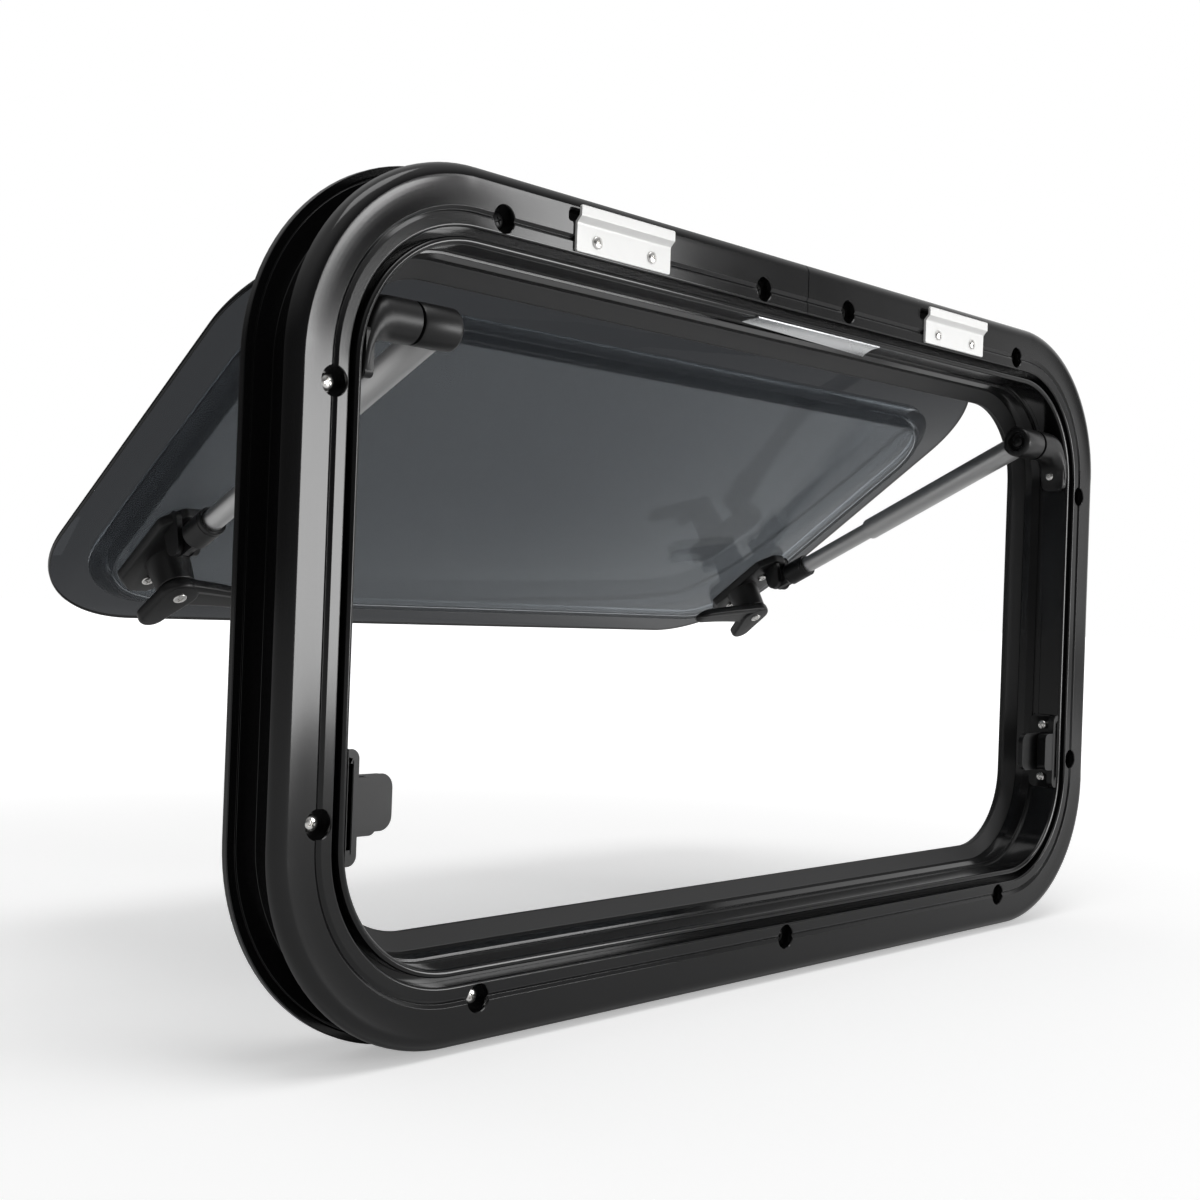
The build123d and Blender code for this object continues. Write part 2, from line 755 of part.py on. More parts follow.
# Strikers: plate, raised rim and block on the jamb, and the tongue that the lobe turns behind
with BuildPart() as striker:
    with BuildSketch(level(striker_inner_y)):
        outline(reveal_offset - seat_gap)
        outline(reveal_offset - seat_gap - fitting_plate, mode=Mode.SUBTRACT)
        with Locations((line_half_width, striker_z)):
            Rectangle(line_radius, striker_length, mode=Mode.INTERSECT)
    extrude(amount=striker_inner_y - striker_plate_outer_y)
    with BuildSketch(level(striker_inner_y)):
        outline(reveal_offset - seat_gap)
        outline(reveal_offset - seat_gap - fitting_rim_height, mode=Mode.SUBTRACT)
        with Locations((line_half_width, striker_z)):
            Rectangle(line_radius, striker_length, mode=Mode.INTERSECT)
    extrude(amount=-fitting_rim_width)
    with BuildSketch(level(tongue_outer_y)):
        with Locations((tongue_tip_x, striker_z)):
            RectangleRounded(
                2 * (jamb_x - fitting_plate / 2 - tongue_tip_x),
                striker_tongue_width,
                tongue_round,
                align=(Align.MIN, Align.CENTER),
            )
        with Locations((tongue_tip_x, striker_z)):
            Rectangle(
                jamb_x - fitting_plate / 2 - tongue_tip_x,
                striker_tongue_width,
                align=(Align.MIN, Align.CENTER),
                mode=Mode.INTERSECT,
            )
    extrude(amount=tongue_thickness)
    with BuildSketch(level(striker_inner_y)):
        with Locations((block_tip_x, striker_z)):
            RectangleRounded(
                2 * (jamb_x - fitting_plate / 2 - block_tip_x),
                striker_tongue_width,
                block_round,
                align=(Align.MIN, Align.CENTER),
            )
        with Locations((block_tip_x, striker_z)):
            Rectangle(
                jamb_x - fitting_plate / 2 - block_tip_x,
                striker_tongue_width,
                align=(Align.MIN, Align.CENTER),
                mode=Mode.INTERSECT,
            )
    extrude(amount=-block_depth)
    with BuildSketch(Plane.YZ.offset(screw_seat_x)):
        with Locations(
            (striker_screw_y, striker_z + striker_screw_offset),
            (striker_screw_y, striker_z - striker_screw_offset),
        ):
            Circle(spot_face_radius)
    extrude(amount=-fitting_rim_height, mode=Mode.SUBTRACT)
save_pair(striker.part, "striker")

# Screws of the stay bracket and the striker, heads on the jamb plates
with BuildPart() as fitting_screws:
    with BuildSketch(Plane.YZ.offset(screw_seat_x)):
        with Locations(
            (striker_screw_y, bracket_screw_z),
            (striker_screw_y, striker_z + striker_screw_offset),
            (striker_screw_y, striker_z - striker_screw_offset),
        ):
            Circle(fitting_screw_radius)
    extrude(amount=-fitting_screw_height)
save_pair(fitting_screws.part, "fitting_screws")

# Hanger clips on the ring's face
clip_bottom_z = line_half_height + clip_plate_bottom
clip_bend_z = line_half_height + clip_plate_top
with BuildPart() as hanger_clip:
    with BuildSketch(across_plane.offset(-clip_x)):
        with BuildLine():
            Polyline(
                (clip_bottom_z, ring_face_y),
                (clip_bend_z, ring_face_y),
                (clip_bend_z + clip_step, ring_face_y - clip_step),
                (clip_bend_z + clip_step + clip_lip_height, ring_face_y - clip_step),
                (clip_bend_z + clip_step + clip_lip_height, ring_face_y - clip_step - clip_sheet),
                (clip_bend_z + clip_step - clip_bend_inset, ring_face_y - clip_step - clip_sheet),
                (clip_bend_z - clip_bend_inset, ring_face_y - clip_sheet),
                (clip_bottom_z, ring_face_y - clip_sheet),
                close=True,
            )
        make_face()
    extrude(amount=clip_length / 2, both=True)
    with BuildSketch(level(ring_face_y)):
        with Locations(*right_clip_screws):
            Circle(screw_hole_radius)
    extrude(amount=clip_sheet, mode=Mode.SUBTRACT)
save_pair(hanger_clip.part, "hanger_clip")

# Clip screws
with BuildPart() as clip_screws:
    with BuildSketch(level(ring_face_y - clip_sheet)):
        with Locations(*right_clip_screws):
            Circle(clip_screw_head_radius)
    extrude(amount=clip_screw_head_height)
    with BuildSketch(level(ring_face_y - clip_sheet)):
        with Locations(*right_clip_screws):
            Circle(screw_shank_radius)
    extrude(amount=-clip_screw_length)
save_pair(clip_screws.part, "clip_screws")

# Splice plate: a sprung curved sheet over the frame's own joint at the top
reveal_z = line_half_height + reveal_offset
splice_outer_y = splice_inner_y + splice_width
splice_middle_y = (splice_inner_y + splice_outer_y) / 2
with BuildPart() as splice_plate:
    with BuildSketch(across_plane.offset(-splice_x)):
        with BuildLine():
            ThreePointArc(
                (reveal_z, splice_inner_y),
                (reveal_z - splice_sag, splice_middle_y),
                (reveal_z, splice_outer_y),
            )
            Line((reveal_z, splice_outer_y), (reveal_z - splice_sheet, splice_outer_y))
            ThreePointArc(
                (reveal_z - splice_sheet, splice_outer_y),
                (reveal_z - splice_sag - splice_sheet, splice_middle_y),
                (reveal_z - splice_sheet, splice_inner_y),
            )
            Line((reveal_z - splice_sheet, splice_inner_y), (reveal_z, splice_inner_y))
        make_face()
    extrude(amount=splice_length / 2, both=True)
save(splice_plate.part, "splice_plate")
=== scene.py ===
# Looks of the top-hung caravan window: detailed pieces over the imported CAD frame.
# Sizes are millimetres, drawn about the opening's middle, +X right from inside, +Y outwards, +Z up.
import bpy
import bmesh
import math
from mathutils import Matrix, Vector


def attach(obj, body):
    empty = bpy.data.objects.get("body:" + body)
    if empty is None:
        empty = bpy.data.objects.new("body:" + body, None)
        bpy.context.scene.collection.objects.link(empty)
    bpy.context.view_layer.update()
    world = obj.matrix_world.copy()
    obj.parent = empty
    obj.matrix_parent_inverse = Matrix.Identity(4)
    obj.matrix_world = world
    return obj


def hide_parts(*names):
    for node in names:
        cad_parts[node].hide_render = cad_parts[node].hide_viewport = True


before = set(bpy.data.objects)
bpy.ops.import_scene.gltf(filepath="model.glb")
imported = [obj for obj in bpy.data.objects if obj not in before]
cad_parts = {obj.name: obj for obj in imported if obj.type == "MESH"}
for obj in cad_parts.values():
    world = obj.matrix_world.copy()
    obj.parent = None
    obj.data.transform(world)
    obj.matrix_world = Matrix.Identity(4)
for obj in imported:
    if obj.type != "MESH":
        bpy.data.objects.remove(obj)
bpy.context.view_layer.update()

# Line of the ring's screws as in the CAD source: half width, half height, corner, middle's height
LINE_W = 337.0
LINE_H = 187.0
LINE_R = 80.0
LIFT = 204.5

# Frame and ring sections: depths inwards from the flange's back, offsets outwards from the line
FACE = 33.0
RING_BACK = 26.0
CHANNEL = 22.0
LIP_FACE = 32.0
REVEAL = -16.0
RING_IN = 8.0
RING_OUT = 22.3
GROOVE_HALF = 1.8
JAMB_X = LINE_W + REVEAL - 0.2

# Sash geometry
OPEN = math.radians(55.0)
HINGE = Vector((0.0, 12.0, 188.0))
INWARD = Vector((0.0, -math.cos(OPEN), -math.sin(OPEN)))
DOWNWARD = Vector((0.0, math.sin(OPEN), -math.cos(OPEN)))

# Places of holes and fittings
HOLES = [(sign * x, LINE_H) for x in (241.0, 41.0) for sign in (-1, 1)]
HOLES += [(-240.0, -LINE_H), (240.0, -LINE_H), (0.0, -LINE_H)]
HOLES += [(side * LINE_W, sign * 97.0) for side in (-1, 1) for sign in (-1, 1)]
# Holes whose screws show in steel; the screws in the other holes get painted shade
BRIGHT_SCREWS = [(-LINE_W, 97.0), (-LINE_W, -97.0), (-240.0, -LINE_H)]
CLIP_X = 158.5
CLIP_SCREWS = 41.0
LATCH_X = 264.0
LATCH_Y = -270.0
PIVOT = Vector((272.0, -22.0, 131.0))
FOOT_DOWN = 240.0
FOOT_UP = 26.0
FOOT = HINGE + DOWNWARD * FOOT_DOWN + INWARD * FOOT_UP + Vector((PIVOT.x, 0, 0))
STRIKER_Z = -91.0

# Mesh fineness
CORNER_STEPS = 28
FLAT_EDGE = 0.15


def axes(origin, x, y, z):
    """Matrix of a local frame given by its origin and three directions."""
    turn = Matrix((x, y, z)).transposed().to_4x4()
    return Matrix.Translation(origin) @ turn


# Local frames: drawn sizes to row metres, and the planes that each fitting is drawn in
TO_ROW = Matrix.Scale(0.001, 4) @ Matrix.Translation((0, 0, LIFT))
DRAWN = Matrix.Identity(4)
WALL = axes((0, 0, 0), Vector((1, 0, 0)), Vector((0, 0, 1)), Vector((0, -1, 0)))
SASH = axes(HINGE, Vector((1, 0, 0)), -DOWNWARD, INWARD)
JAMB = axes((0, 0, 0), Vector((0, -1, 0)), Vector((0, 0, 1)), Vector((-1, 0, 0)))
STAY_Z = (FOOT - PIVOT).normalized()
STAY = axes(PIVOT, Vector((1, 0, 0)), STAY_Z.cross(Vector((1, 0, 0))), STAY_Z)
STAY_REACH = (FOOT - PIVOT).length
ACROSS = Matrix.Rotation(math.pi / 2, 4, "Y")


# Mesh helpers
def rounded(points, radii, steps=5, share=0.49, flat=FLAT_EDGE):
    """Closed outline with its corners rounded; a round takes at most a share of each side.

    A point a little way from each round keeps the shading of the flat faces even.
    """
    corners = []
    count = len(points)
    for i, point in enumerate(points):
        r = radii[i] if isinstance(radii, (list, tuple)) else radii
        p = Vector(point)
        a = Vector(points[i - 1]) - p
        b = Vector(points[(i + 1) % count]) - p
        room = min(a.length, b.length) * share
        a.normalize()
        b.normalize()
        opening = math.acos(max(-1.0, min(1.0, a.dot(b))))
        if r <= 0 or opening > math.pi - 0.01:
            corners.append([(p.x, p.y)])
            continue
        reach = min(r / math.tan(opening / 2), room)
        r = reach * math.tan(opening / 2)
        centre = p + (a + b).normalized() * (r / math.sin(opening / 2))
        first = p + a * reach - centre
        last = p + b * reach - centre
        start = math.atan2(first.y, first.x)
        turn = math.atan2(last.y, last.x) - start
        turn = (turn + math.pi) % (2 * math.pi) - math.pi
        angles = [start + turn * k / steps for k in range(steps + 1)]
        corners.append([(centre.x + r * math.cos(angle), centre.y + r * math.sin(angle))
                        for angle in angles])
    out = []
    for i, corner in enumerate(corners):
        out += corner
        last = Vector(corner[-1])
        run = Vector(corners[(i + 1) % count][0]) - last
        if flat and run.length > 8 * flat:
            run_end = run.normalized() * flat
            out.append(tuple(last + run_end))
            out.append(tuple(last + run - run_end))
    return out


def circle(x, y, r, count=32):
    """Points of a circle."""
    angles = [2 * math.pi * k / count for k in range(count)]
    return [(x + r * math.cos(angle), y + r * math.sin(angle)) for angle in angles]


def hull(points):
    """Convex outline round a set of points, counterclockwise."""
    points = sorted(set(points))
    chain = []
    for run in (points, points[::-1]):
        part = []
        for p in run:
            while len(part) > 1:
                (ax, ay), (bx, by) = part[-2], part[-1]
                if (bx - ax) * (p[1] - ay) - (by - ay) * (p[0] - ax) > 1e-9:
                    break
                part.pop()
            part.append(p)
        chain += part[:-1]
    return chain


def grid(rows, wrap_rows=True, wrap_columns=True):
    """Surface through rows of points, closed round either way."""
    bm = bmesh.new()
    lines = [[bm.verts.new(p) for p in row] for row in rows]
    n = len(lines)
    m = len(lines[0])
    for i in range(n if wrap_rows else n - 1):
        for j in range(m if wrap_columns else m - 1):
            bm.faces.new((
                lines[i][j], lines[(i + 1) % n][j],
                lines[(i + 1) % n][(j + 1) % m], lines[i][(j + 1) % m],
            ))
    return bm, lines


def sweep(profile, steps=CORNER_STEPS, bent=None):
    """Closed section of (offset from the screw line, depth Y) carried round the opening.

    bent(offset, depth, share) gives the depth where bending has dished a corner's section.
    """
    rows = []
    for k, (sx, sz) in enumerate(((1, 1), (-1, 1), (-1, -1), (1, -1))):
        for i in range(steps + 1):
            angle = math.pi / 2 * (k + i / steps)
            share = math.sin(math.pi * i / steps) ** 0.7
            rows.append([
                (sx * (LINE_W - LINE_R) + (LINE_R + o) * math.cos(angle),
                 bent(o, y, share) if bent else y,
                 sz * (LINE_H - LINE_R) + (LINE_R + o) * math.sin(angle))
                for o, y in profile
            ])
    return grid(rows)[0]


def slab(outline, low, high):
    """Solid between two heights over an outline."""
    bm, lines = grid([[(x, y, h) for x, y in outline] for h in (low, high)], wrap_rows=False)
    bm.faces.new(lines[0])
    bm.faces.new(lines[1])
    return bm


def loft(outlines):
    """Solid through outlines of (x, y, z) points, capped at both ends."""
    bm, lines = grid(outlines, wrap_rows=False)
    bm.faces.new(lines[0])
    bm.faces.new(lines[-1])
    return bm


def turned(profile, count=40):
    """Solid turned about local Z from (radius, height) points; a zero radius closes it."""
    bm = bmesh.new()
    rings = []
    for r, h in profile:
        if r < 1e-6:
            rings.append([bm.verts.new((0, 0, h))])
        else:
            rings.append([bm.verts.new((x, y, h)) for x, y in circle(0, 0, r, count)])
    for a, b in zip(rings, rings[1:]):
        for j in range(count):
            k = (j + 1) % count
            if len(a) == 1 and len(b) == 1:
                break
            if len(a) == 1:
                bm.faces.new((a[0], b[j], b[k]))
            elif len(b) == 1:
                bm.faces.new((a[j], a[k], b[0]))
            else:
                bm.faces.new((a[j], a[k], b[k], b[j]))
    if len(rings[0]) > 1 and len(rings[-1]) > 1 and profile[0] != profile[-1]:
        bm.faces.new(rings[0])
        bm.faces.new(rings[-1])
    return bm


def soften(bm, width, segments=2, above=1.0):
    """Bevel the edges that turn by more than an angle."""
    bm.normal_update()
    edges = [e for e in bm.edges if len(e.link_faces) == 2 and e.calc_face_angle(0) > above]
    bmesh.ops.bevel(
        bm, geom=edges, offset=width, offset_type="OFFSET", segments=segments,
        profile=0.5, affect="EDGES", clamp_overlap=True,
    )
    return bm


def moved(bm, matrix):
    """The same mesh in another local frame."""
    bmesh.ops.transform(bm, matrix=matrix, verts=bm.verts)
    return bm


def at(x, y, z=0.0):
    """Shift by x, y and z."""
    return Matrix.Translation((x, y, z))


def joined(*parts):
    """One mesh from several."""
    whole = bmesh.new()
    for part in parts:
        data = bpy.data.meshes.new("part")
        part.to_mesh(data)
        part.free()
        whole.from_mesh(data)
        bpy.data.meshes.remove(data)
    return whole


def combined(base, tool, operation="DIFFERENCE"):
    """Exact boolean of two closed meshes."""
    objects = []
    for bm in (base, tool):
        bmesh.ops.recalc_face_normals(bm, faces=bm.faces)
        data = bpy.data.meshes.new("boolean")
        bm.to_mesh(data)
        bm.free()
        item = bpy.data.objects.new("boolean", data)
        bpy.context.scene.collection.objects.link(item)
        objects.append(item)
    modifier = objects[0].modifiers.new("boolean", "BOOLEAN")
    modifier.object = objects[1]
    modifier.operation = operation
    modifier.solver = "EXACT"
    modifier.use_self = True
    graph = bpy.context.evaluated_depsgraph_get()
    result = bmesh.new()
    result.from_object(objects[0], graph)
    for item in objects:
        data = item.data
        bpy.data.objects.remove(item)
        bpy.data.meshes.remove(data)
    bmesh.ops.remove_doubles(result, verts=result.verts, dist=0.002)
    bmesh.ops.dissolve_degenerate(result, edges=result.edges, dist=0.001)
    return result


def piece(name, bm, material, body, local=DRAWN, covers=(), crease=0.55, extra=()):
    """Finished object from a mesh in a local frame, riding on its body.

    Edges that turn by more than crease stay sharp; faces with index 1 take the extra material.
    """
    moved(bm, TO_ROW @ local)
    bmesh.ops.recalc_face_normals(bm, faces=bm.faces)
    for face in bm.faces:
        face.smooth = True
    for edge in bm.edges:
        edge.smooth = not (len(edge.link_faces) == 2 and edge.calc_face_angle(0) > crease)
    data = bpy.data.meshes.new(name)
    bm.to_mesh(data)
    bm.free()
    item = bpy.data.objects.new(name, data)
    bpy.context.scene.collection.objects.link(item)
    data.materials.append(material)
    for other in extra:
        data.materials.append(other)
    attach(item, body)
    if covers:
        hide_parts(*covers)


def mirrored(bm):
    """Mirror image of a mesh across the middle of the window, in drawn coordinates."""
    copy = bm.copy()
    bmesh.ops.transform(copy, matrix=Matrix.Scale(-1, 4, (1, 0, 0)), verts=copy.verts)
    bmesh.ops.reverse_faces(copy, faces=copy.faces)
    return copy


def pair(name, bm, material, body, local=DRAWN, covers=(), crease=0.55):
    """A right-hand piece and its mirror image; body and covers get _left or _right."""
    moved(bm, local)
    for side, mesh in (("_left", mirrored(bm)), ("_right", bm)):
        home = body if body in ("frame", "sash") else body + side
        names = [node + side for node in covers]
        piece(name + side, mesh, material, home, DRAWN, names, crease)


# Materials: noise scales are per metre, bump heights in metres
BROAD_SCALE = 14.0
GRAIN_HEIGHT = 0.00004
LINES_SCALE = 500.0
LINES_HEIGHT = 0.00003


def surface(name, colour, rough, metallic=0.0, grain=0.0, grain_scale=900.0, vary=0.0,
            rough_vary=0.0, **sockets):
    """Principled material with fine grain in the bump and broad variation in colour and gloss."""
    material = bpy.data.materials.new(name)
    material.use_nodes = True
    nodes = material.node_tree.nodes
    links = material.node_tree.links
    shader = nodes["Principled BSDF"]
    shader.inputs["Base Color"].default_value = (*colour, 1)
    shader.inputs["Roughness"].default_value = rough
    shader.inputs["Metallic"].default_value = metallic
    for key, value in sockets.items():
        shader.inputs[key.replace("_", " ")].default_value = value
    place = nodes.new("ShaderNodeTexCoord")
    broad = nodes.new("ShaderNodeTexNoise")
    broad.inputs["Scale"].default_value = BROAD_SCALE
    broad.inputs["Detail"].default_value = 5.0
    links.new(place.outputs["Object"], broad.inputs["Vector"])
    if vary:
        ramp = nodes.new("ShaderNodeMix")
        ramp.data_type = "RGBA"
        ramp.inputs["A"].default_value = (*[c * (1 - vary) for c in colour], 1)
        ramp.inputs["B"].default_value = (*[min(1.0, c * (1 + vary)) for c in colour], 1)
        links.new(broad.outputs["Fac"], ramp.inputs["Factor"])
        links.new(ramp.outputs["Result"], shader.inputs["Base Color"])
    if rough_vary:
        gloss = nodes.new("ShaderNodeMapRange")
        gloss.inputs["From Min"].default_value = 0.3
        gloss.inputs["From Max"].default_value = 0.7
        gloss.inputs["To Min"].default_value = rough - rough_vary
        gloss.inputs["To Max"].default_value = rough + rough_vary
        links.new(broad.outputs["Fac"], gloss.inputs["Value"])
        links.new(gloss.outputs["Result"], shader.inputs["Roughness"])
    if grain:
        fine = nodes.new("ShaderNodeTexNoise")
        fine.inputs["Scale"].default_value = grain_scale
        fine.inputs["Detail"].default_value = 3.0
        bump = nodes.new("ShaderNodeBump")
        bump.inputs["Strength"].default_value = grain
        bump.inputs["Distance"].default_value = GRAIN_HEIGHT
        links.new(place.outputs["Object"], fine.inputs["Vector"])
        links.new(fine.outputs["Fac"], bump.inputs["Height"])
        links.new(bump.outputs["Normal"], shader.inputs["Normal"])
    return material


def brushed(name, colour, rough, stretch, strength=0.15, metallic=1.0):
    """Metal with fine lines drawn along one axis."""
    material = surface(name, colour, rough, metallic=metallic, vary=0.06, rough_vary=0.06)
    nodes = material.node_tree.nodes
    links = material.node_tree.links
    place = nodes.new("ShaderNodeTexCoord")
    scaling = nodes.new("ShaderNodeMapping")
    scaling.inputs["Scale"].default_value = stretch
    lines = nodes.new("ShaderNodeTexNoise")
    lines.inputs["Scale"].default_value = LINES_SCALE
    lines.inputs["Detail"].default_value = 2.0
    bump = nodes.new("ShaderNodeBump")
    bump.inputs["Strength"].default_value = strength
    bump.inputs["Distance"].default_value = LINES_HEIGHT
    links.new(place.outputs["Object"], scaling.inputs["Vector"])
    links.new(scaling.outputs["Vector"], lines.inputs["Vector"])
    links.new(lines.outputs["Fac"], bump.inputs["Height"])
    links.new(bump.outputs["Normal"], nodes["Principled BSDF"].inputs["Normal"])
    return material


black_paint = surface("black_paint", (0.0042, 0.0042, 0.0045), 0.14, grain=0.12, grain_scale=1400,
                      vary=0.15, rough_vary=0.02, Specular_IOR_Level=0.42)
black_plastic = surface("black_plastic", (0.006, 0.006, 0.0063), 0.38, grain=0.35,
                        grain_scale=1100, vary=0.2, rough_vary=0.04, Specular_IOR_Level=0.4)
rubber = surface("seal_rubber", (0.009, 0.009, 0.0095), 0.5, grain=0.2, grain_scale=700, vary=0.2,
                 rough_vary=0.05)
clip_metal = brushed("clip_aluminium", (0.77, 0.77, 0.76), 0.5, (0.15, 4.0, 4.0), metallic=0.3)
strip_metal = brushed("splice_sheet", (0.82, 0.83, 0.84), 0.26, (0.1, 3.0, 3.0))
stay_metal = brushed("stay_tube_metal", (0.62, 0.62, 0.62), 0.46, (0.2, 3.0, 3.0), strength=0.1)
screw_steel = surface("screw_steel", (0.80, 0.79, 0.77), 0.22, metallic=1.0, grain=0.1,
                      vary=0.08, rough_vary=0.05)
# Near-black screws: painted shade, standing in for the dark inside the ring's deep screw holes
painted_shade_screw = surface("painted_shade_screw", (0.02, 0.02, 0.02), 0.4, metallic=0.6, grain=0.1, vary=0.1)
tinted = surface("tinted_acrylic", (0.038, 0.040, 0.043), 0.02, vary=0.03,
                 Transmission_Weight=1.0, IOR=1.10)
clear = surface("clear_acrylic", (0.84, 0.88, 0.91), 0.03, vary=0.02,
                Transmission_Weight=0.965, IOR=1.10)
# Darker grey for the pan's sloped rim: painted shade that dims the bright streaks light makes along it
pan_rim_painted_shade = surface("pan_rim_painted_shade", (0.30, 0.32, 0.34), 0.12, vary=0.05, rough_vary=0.03,
                  Transmission_Weight=0.97, IOR=1.08)
pane_edge = surface("pane_edge", (0.004, 0.0045, 0.005), 0.15, vary=0.1, rough_vary=0.03)

# Outer frame: lip, screw channel, reveal with its ledge, and the flange
frame_profile = rounded(
    [
        (-12.0, -LIP_FACE), (-12.0, -CHANNEL), (10.0, -CHANNEL), (10.0, 0.0), (20.1, 0.0), (20.1, 1.0),
        (21.3, 1.0), (21.3, 0.0), (25.0, 0.0), (25.0, 5.0), (-15.0, 5.0), (-15.0, 1.0),
        (-19.0, 1.0), (-18.85, -4.75), (-17.5, -10.5), (REVEAL, -10.5), (REVEAL, -11.4),
        (REVEAL + 0.7, -12.0), (REVEAL + 0.7, -14.4), (REVEAL, -15.0), (REVEAL, -LIP_FACE),
    ],
    [1.9, 0.3, 0.4, 0.4, 0.2, 0.2, 0.2, 0.2, 0.5, 2.0, 0.3, 0.2, 0.3, 2.0, 0.3, 0.3, 0.3,
     0.2, 0.2, 0.3, 1.9],
    steps=4,
)
frame_seam = slab([(24.85, 165), (25.15, 165), (25.15, 171.6), (24.85, 171.6)], 8.0, FACE + 1)
piece("outer_frame_section", combined(sweep(frame_profile), moved(frame_seam, WALL)), black_paint,
      "frame", covers=["outer_frame"], crease=0.45)

# Clamp ring: V-groove on the screw line, and points across the face for the corners' dish
face_points = [(offset, -FACE) for offset in (4.5, 7.0, 9.0, 11.0, 13.0, 14.5)]
ring_profile = rounded(
    [
        (-RING_IN, -CHANNEL), (-RING_IN, -FACE), (-5.0, -FACE), (-GROOVE_HALF, -FACE), (0.0, -31.8),
        (GROOVE_HALF, -FACE), *face_points, (RING_OUT, -FACE), (RING_OUT, -RING_BACK),
        (10.0, -RING_BACK), (10.0, -CHANNEL),
    ],
    [0.3, 1.2, 0, 0.3, 0.2, 0.3, 0, 0, 0, 0, 0, 0, 6.3, 0.3, 0.3, 0.3],
    steps=7, share=0.94,
)

# Dish of the ring's corners: the offsets that the lift runs between, and its heights
LIFT_FROM = 5.5
LIFT_TO = 15.8
RIM_LIFT = 0.9
EDGE_DROP = 0.3
DISH_DEPTH = RING_BACK + 0.5


def dished(offset, depth, share):
    """Bending lifts the ring's outer rim and lowers its inner edge in the corners."""
    if depth > -DISH_DEPTH:
        return depth
    lift = RIM_LIFT * max(0.0, min(offset, LIFT_TO) - LIFT_FROM) ** 2 / (LIFT_TO - LIFT_FROM) ** 2
    drop = EDGE_DROP * max(0.0, -GROOVE_HALF - offset) / (RING_IN - GROOVE_HALF)
    return depth + (drop - lift) * share * min(1.0, (-DISH_DEPTH - depth) / 3.0)


# Cuts in the ring: stepped screw holes, its seam, and a slot behind each clip's lip
CUT_LOW = 20.5
CUT_HIGH = FACE + 1
SEAM_HALF = 0.35
hole_shape = [(0, CUT_LOW), (2.2, CUT_LOW), (2.2, RING_BACK), (6.8, RING_BACK), (6.8, 32.5), (7.3, 33.2),
              (7.3, CUT_HIGH), (0, CUT_HIGH)]
cutters = [moved(turned(hole_shape, 40), at(x, y)) for x, y in HOLES]
cutters.append(slab([(-SEAM_HALF, 176), (SEAM_HALF, 176), (SEAM_HALF, 212), (-SEAM_HALF, 212)],
                    CUT_LOW, CUT_HIGH))
for side in (-1, 1):
    slot_left = side * CLIP_X - 40
    slot_right = side * CLIP_X + 33
    slot_outline = rounded([(slot_left, LINE_H + 8), (slot_right, LINE_H + 8),
                            (slot_right, LINE_H + 14), (slot_left, LINE_H + 14)], 1.8)
    cutters.append(slab(slot_outline, FACE - 3, CUT_HIGH))
piece("clamp_ring_section", combined(sweep(ring_profile, bent=dished),
                                     moved(joined(*cutters), WALL)),
      black_paint, "frame", covers=["clamp_ring"], crease=0.4)

# Rubber seal with its inner lip and the bulb outside
seal_profile = rounded(
    [
        (-15.2, 1.0), (-19.0, 1.0), (-27.4, 6.2), (-28.0, 7.0), (-27.2, 8.0), (-27.2, 11.7),
        (-21.2, 11.7), (-21.2, 7.0), (-15.2, 5.6),
    ],
    [0.2, 1.0, 0.3, 0.4, 0.3, 2.9, 2.9, 0.5, 0.3],
    steps=4,
)
piece("frame_seal_section", sweep(seal_profile), rubber, "frame",
      covers=["frame_seal"], crease=0.9)


# Screws: pan head with a cross recess, turned about local Z, seated at height 0
def screw_head(r, height, shank=0.0, shank_length=0.0):
    """Pan head with a cross recess and, where it shows, a shank."""
    dome = [(r * math.sin(a), height * (0.35 + 0.65 * math.cos(a)))
            for a in [math.pi / 2 * k / 6 for k in range(7)]]
    body = [(0, -shank_length), (shank, -shank_length), (shank, 0.0)] if shank else [(0, 0.0)]
    head = turned(body + [(r, 0.0)] + dome[::-1], 28)
    arm = r * 0.62
    half = r * 0.13
    deep = height * 0.6
    cross = [(half, half), (half, arm), (-half, arm), (-half, half), (-arm, half), (-arm, -half),
             (-half, -half), (-half, -arm), (half, -arm), (half, -half), (arm, -half), (arm, half)]
    cutter = loft([
        [(x * 0.55, y * 0.55, height - deep) for x, y in cross],
        [(x, y, height + 0.3) for x, y in cross],
    ])
    return combined(head, moved(cutter, Matrix.Rotation(0.4, 4, "Z")))


def screws(places, *size):
    """One mesh of equal screws seated at several places."""
    head = screw_head(*size)
    copies = [moved(head.copy(), at(*place)) for place in places]
    head.free()
    return joined(*copies)


# Ring screws at the bottom of their holes: three in bright steel, the others near-black as painted shade
# standing in for the dark of their deep holes
for label, wanted, material in (("bright", True, screw_steel), ("dark", False, painted_shade_screw)):
    places = [(x, y, RING_BACK) for x, y in HOLES if ((x, y) in BRIGHT_SCREWS) == wanted]
    piece("ring_screws_" + label, screws(places, 4.0, 2.4, 2.0, 16.0), material, "frame",
          WALL, ["ring_screws"])

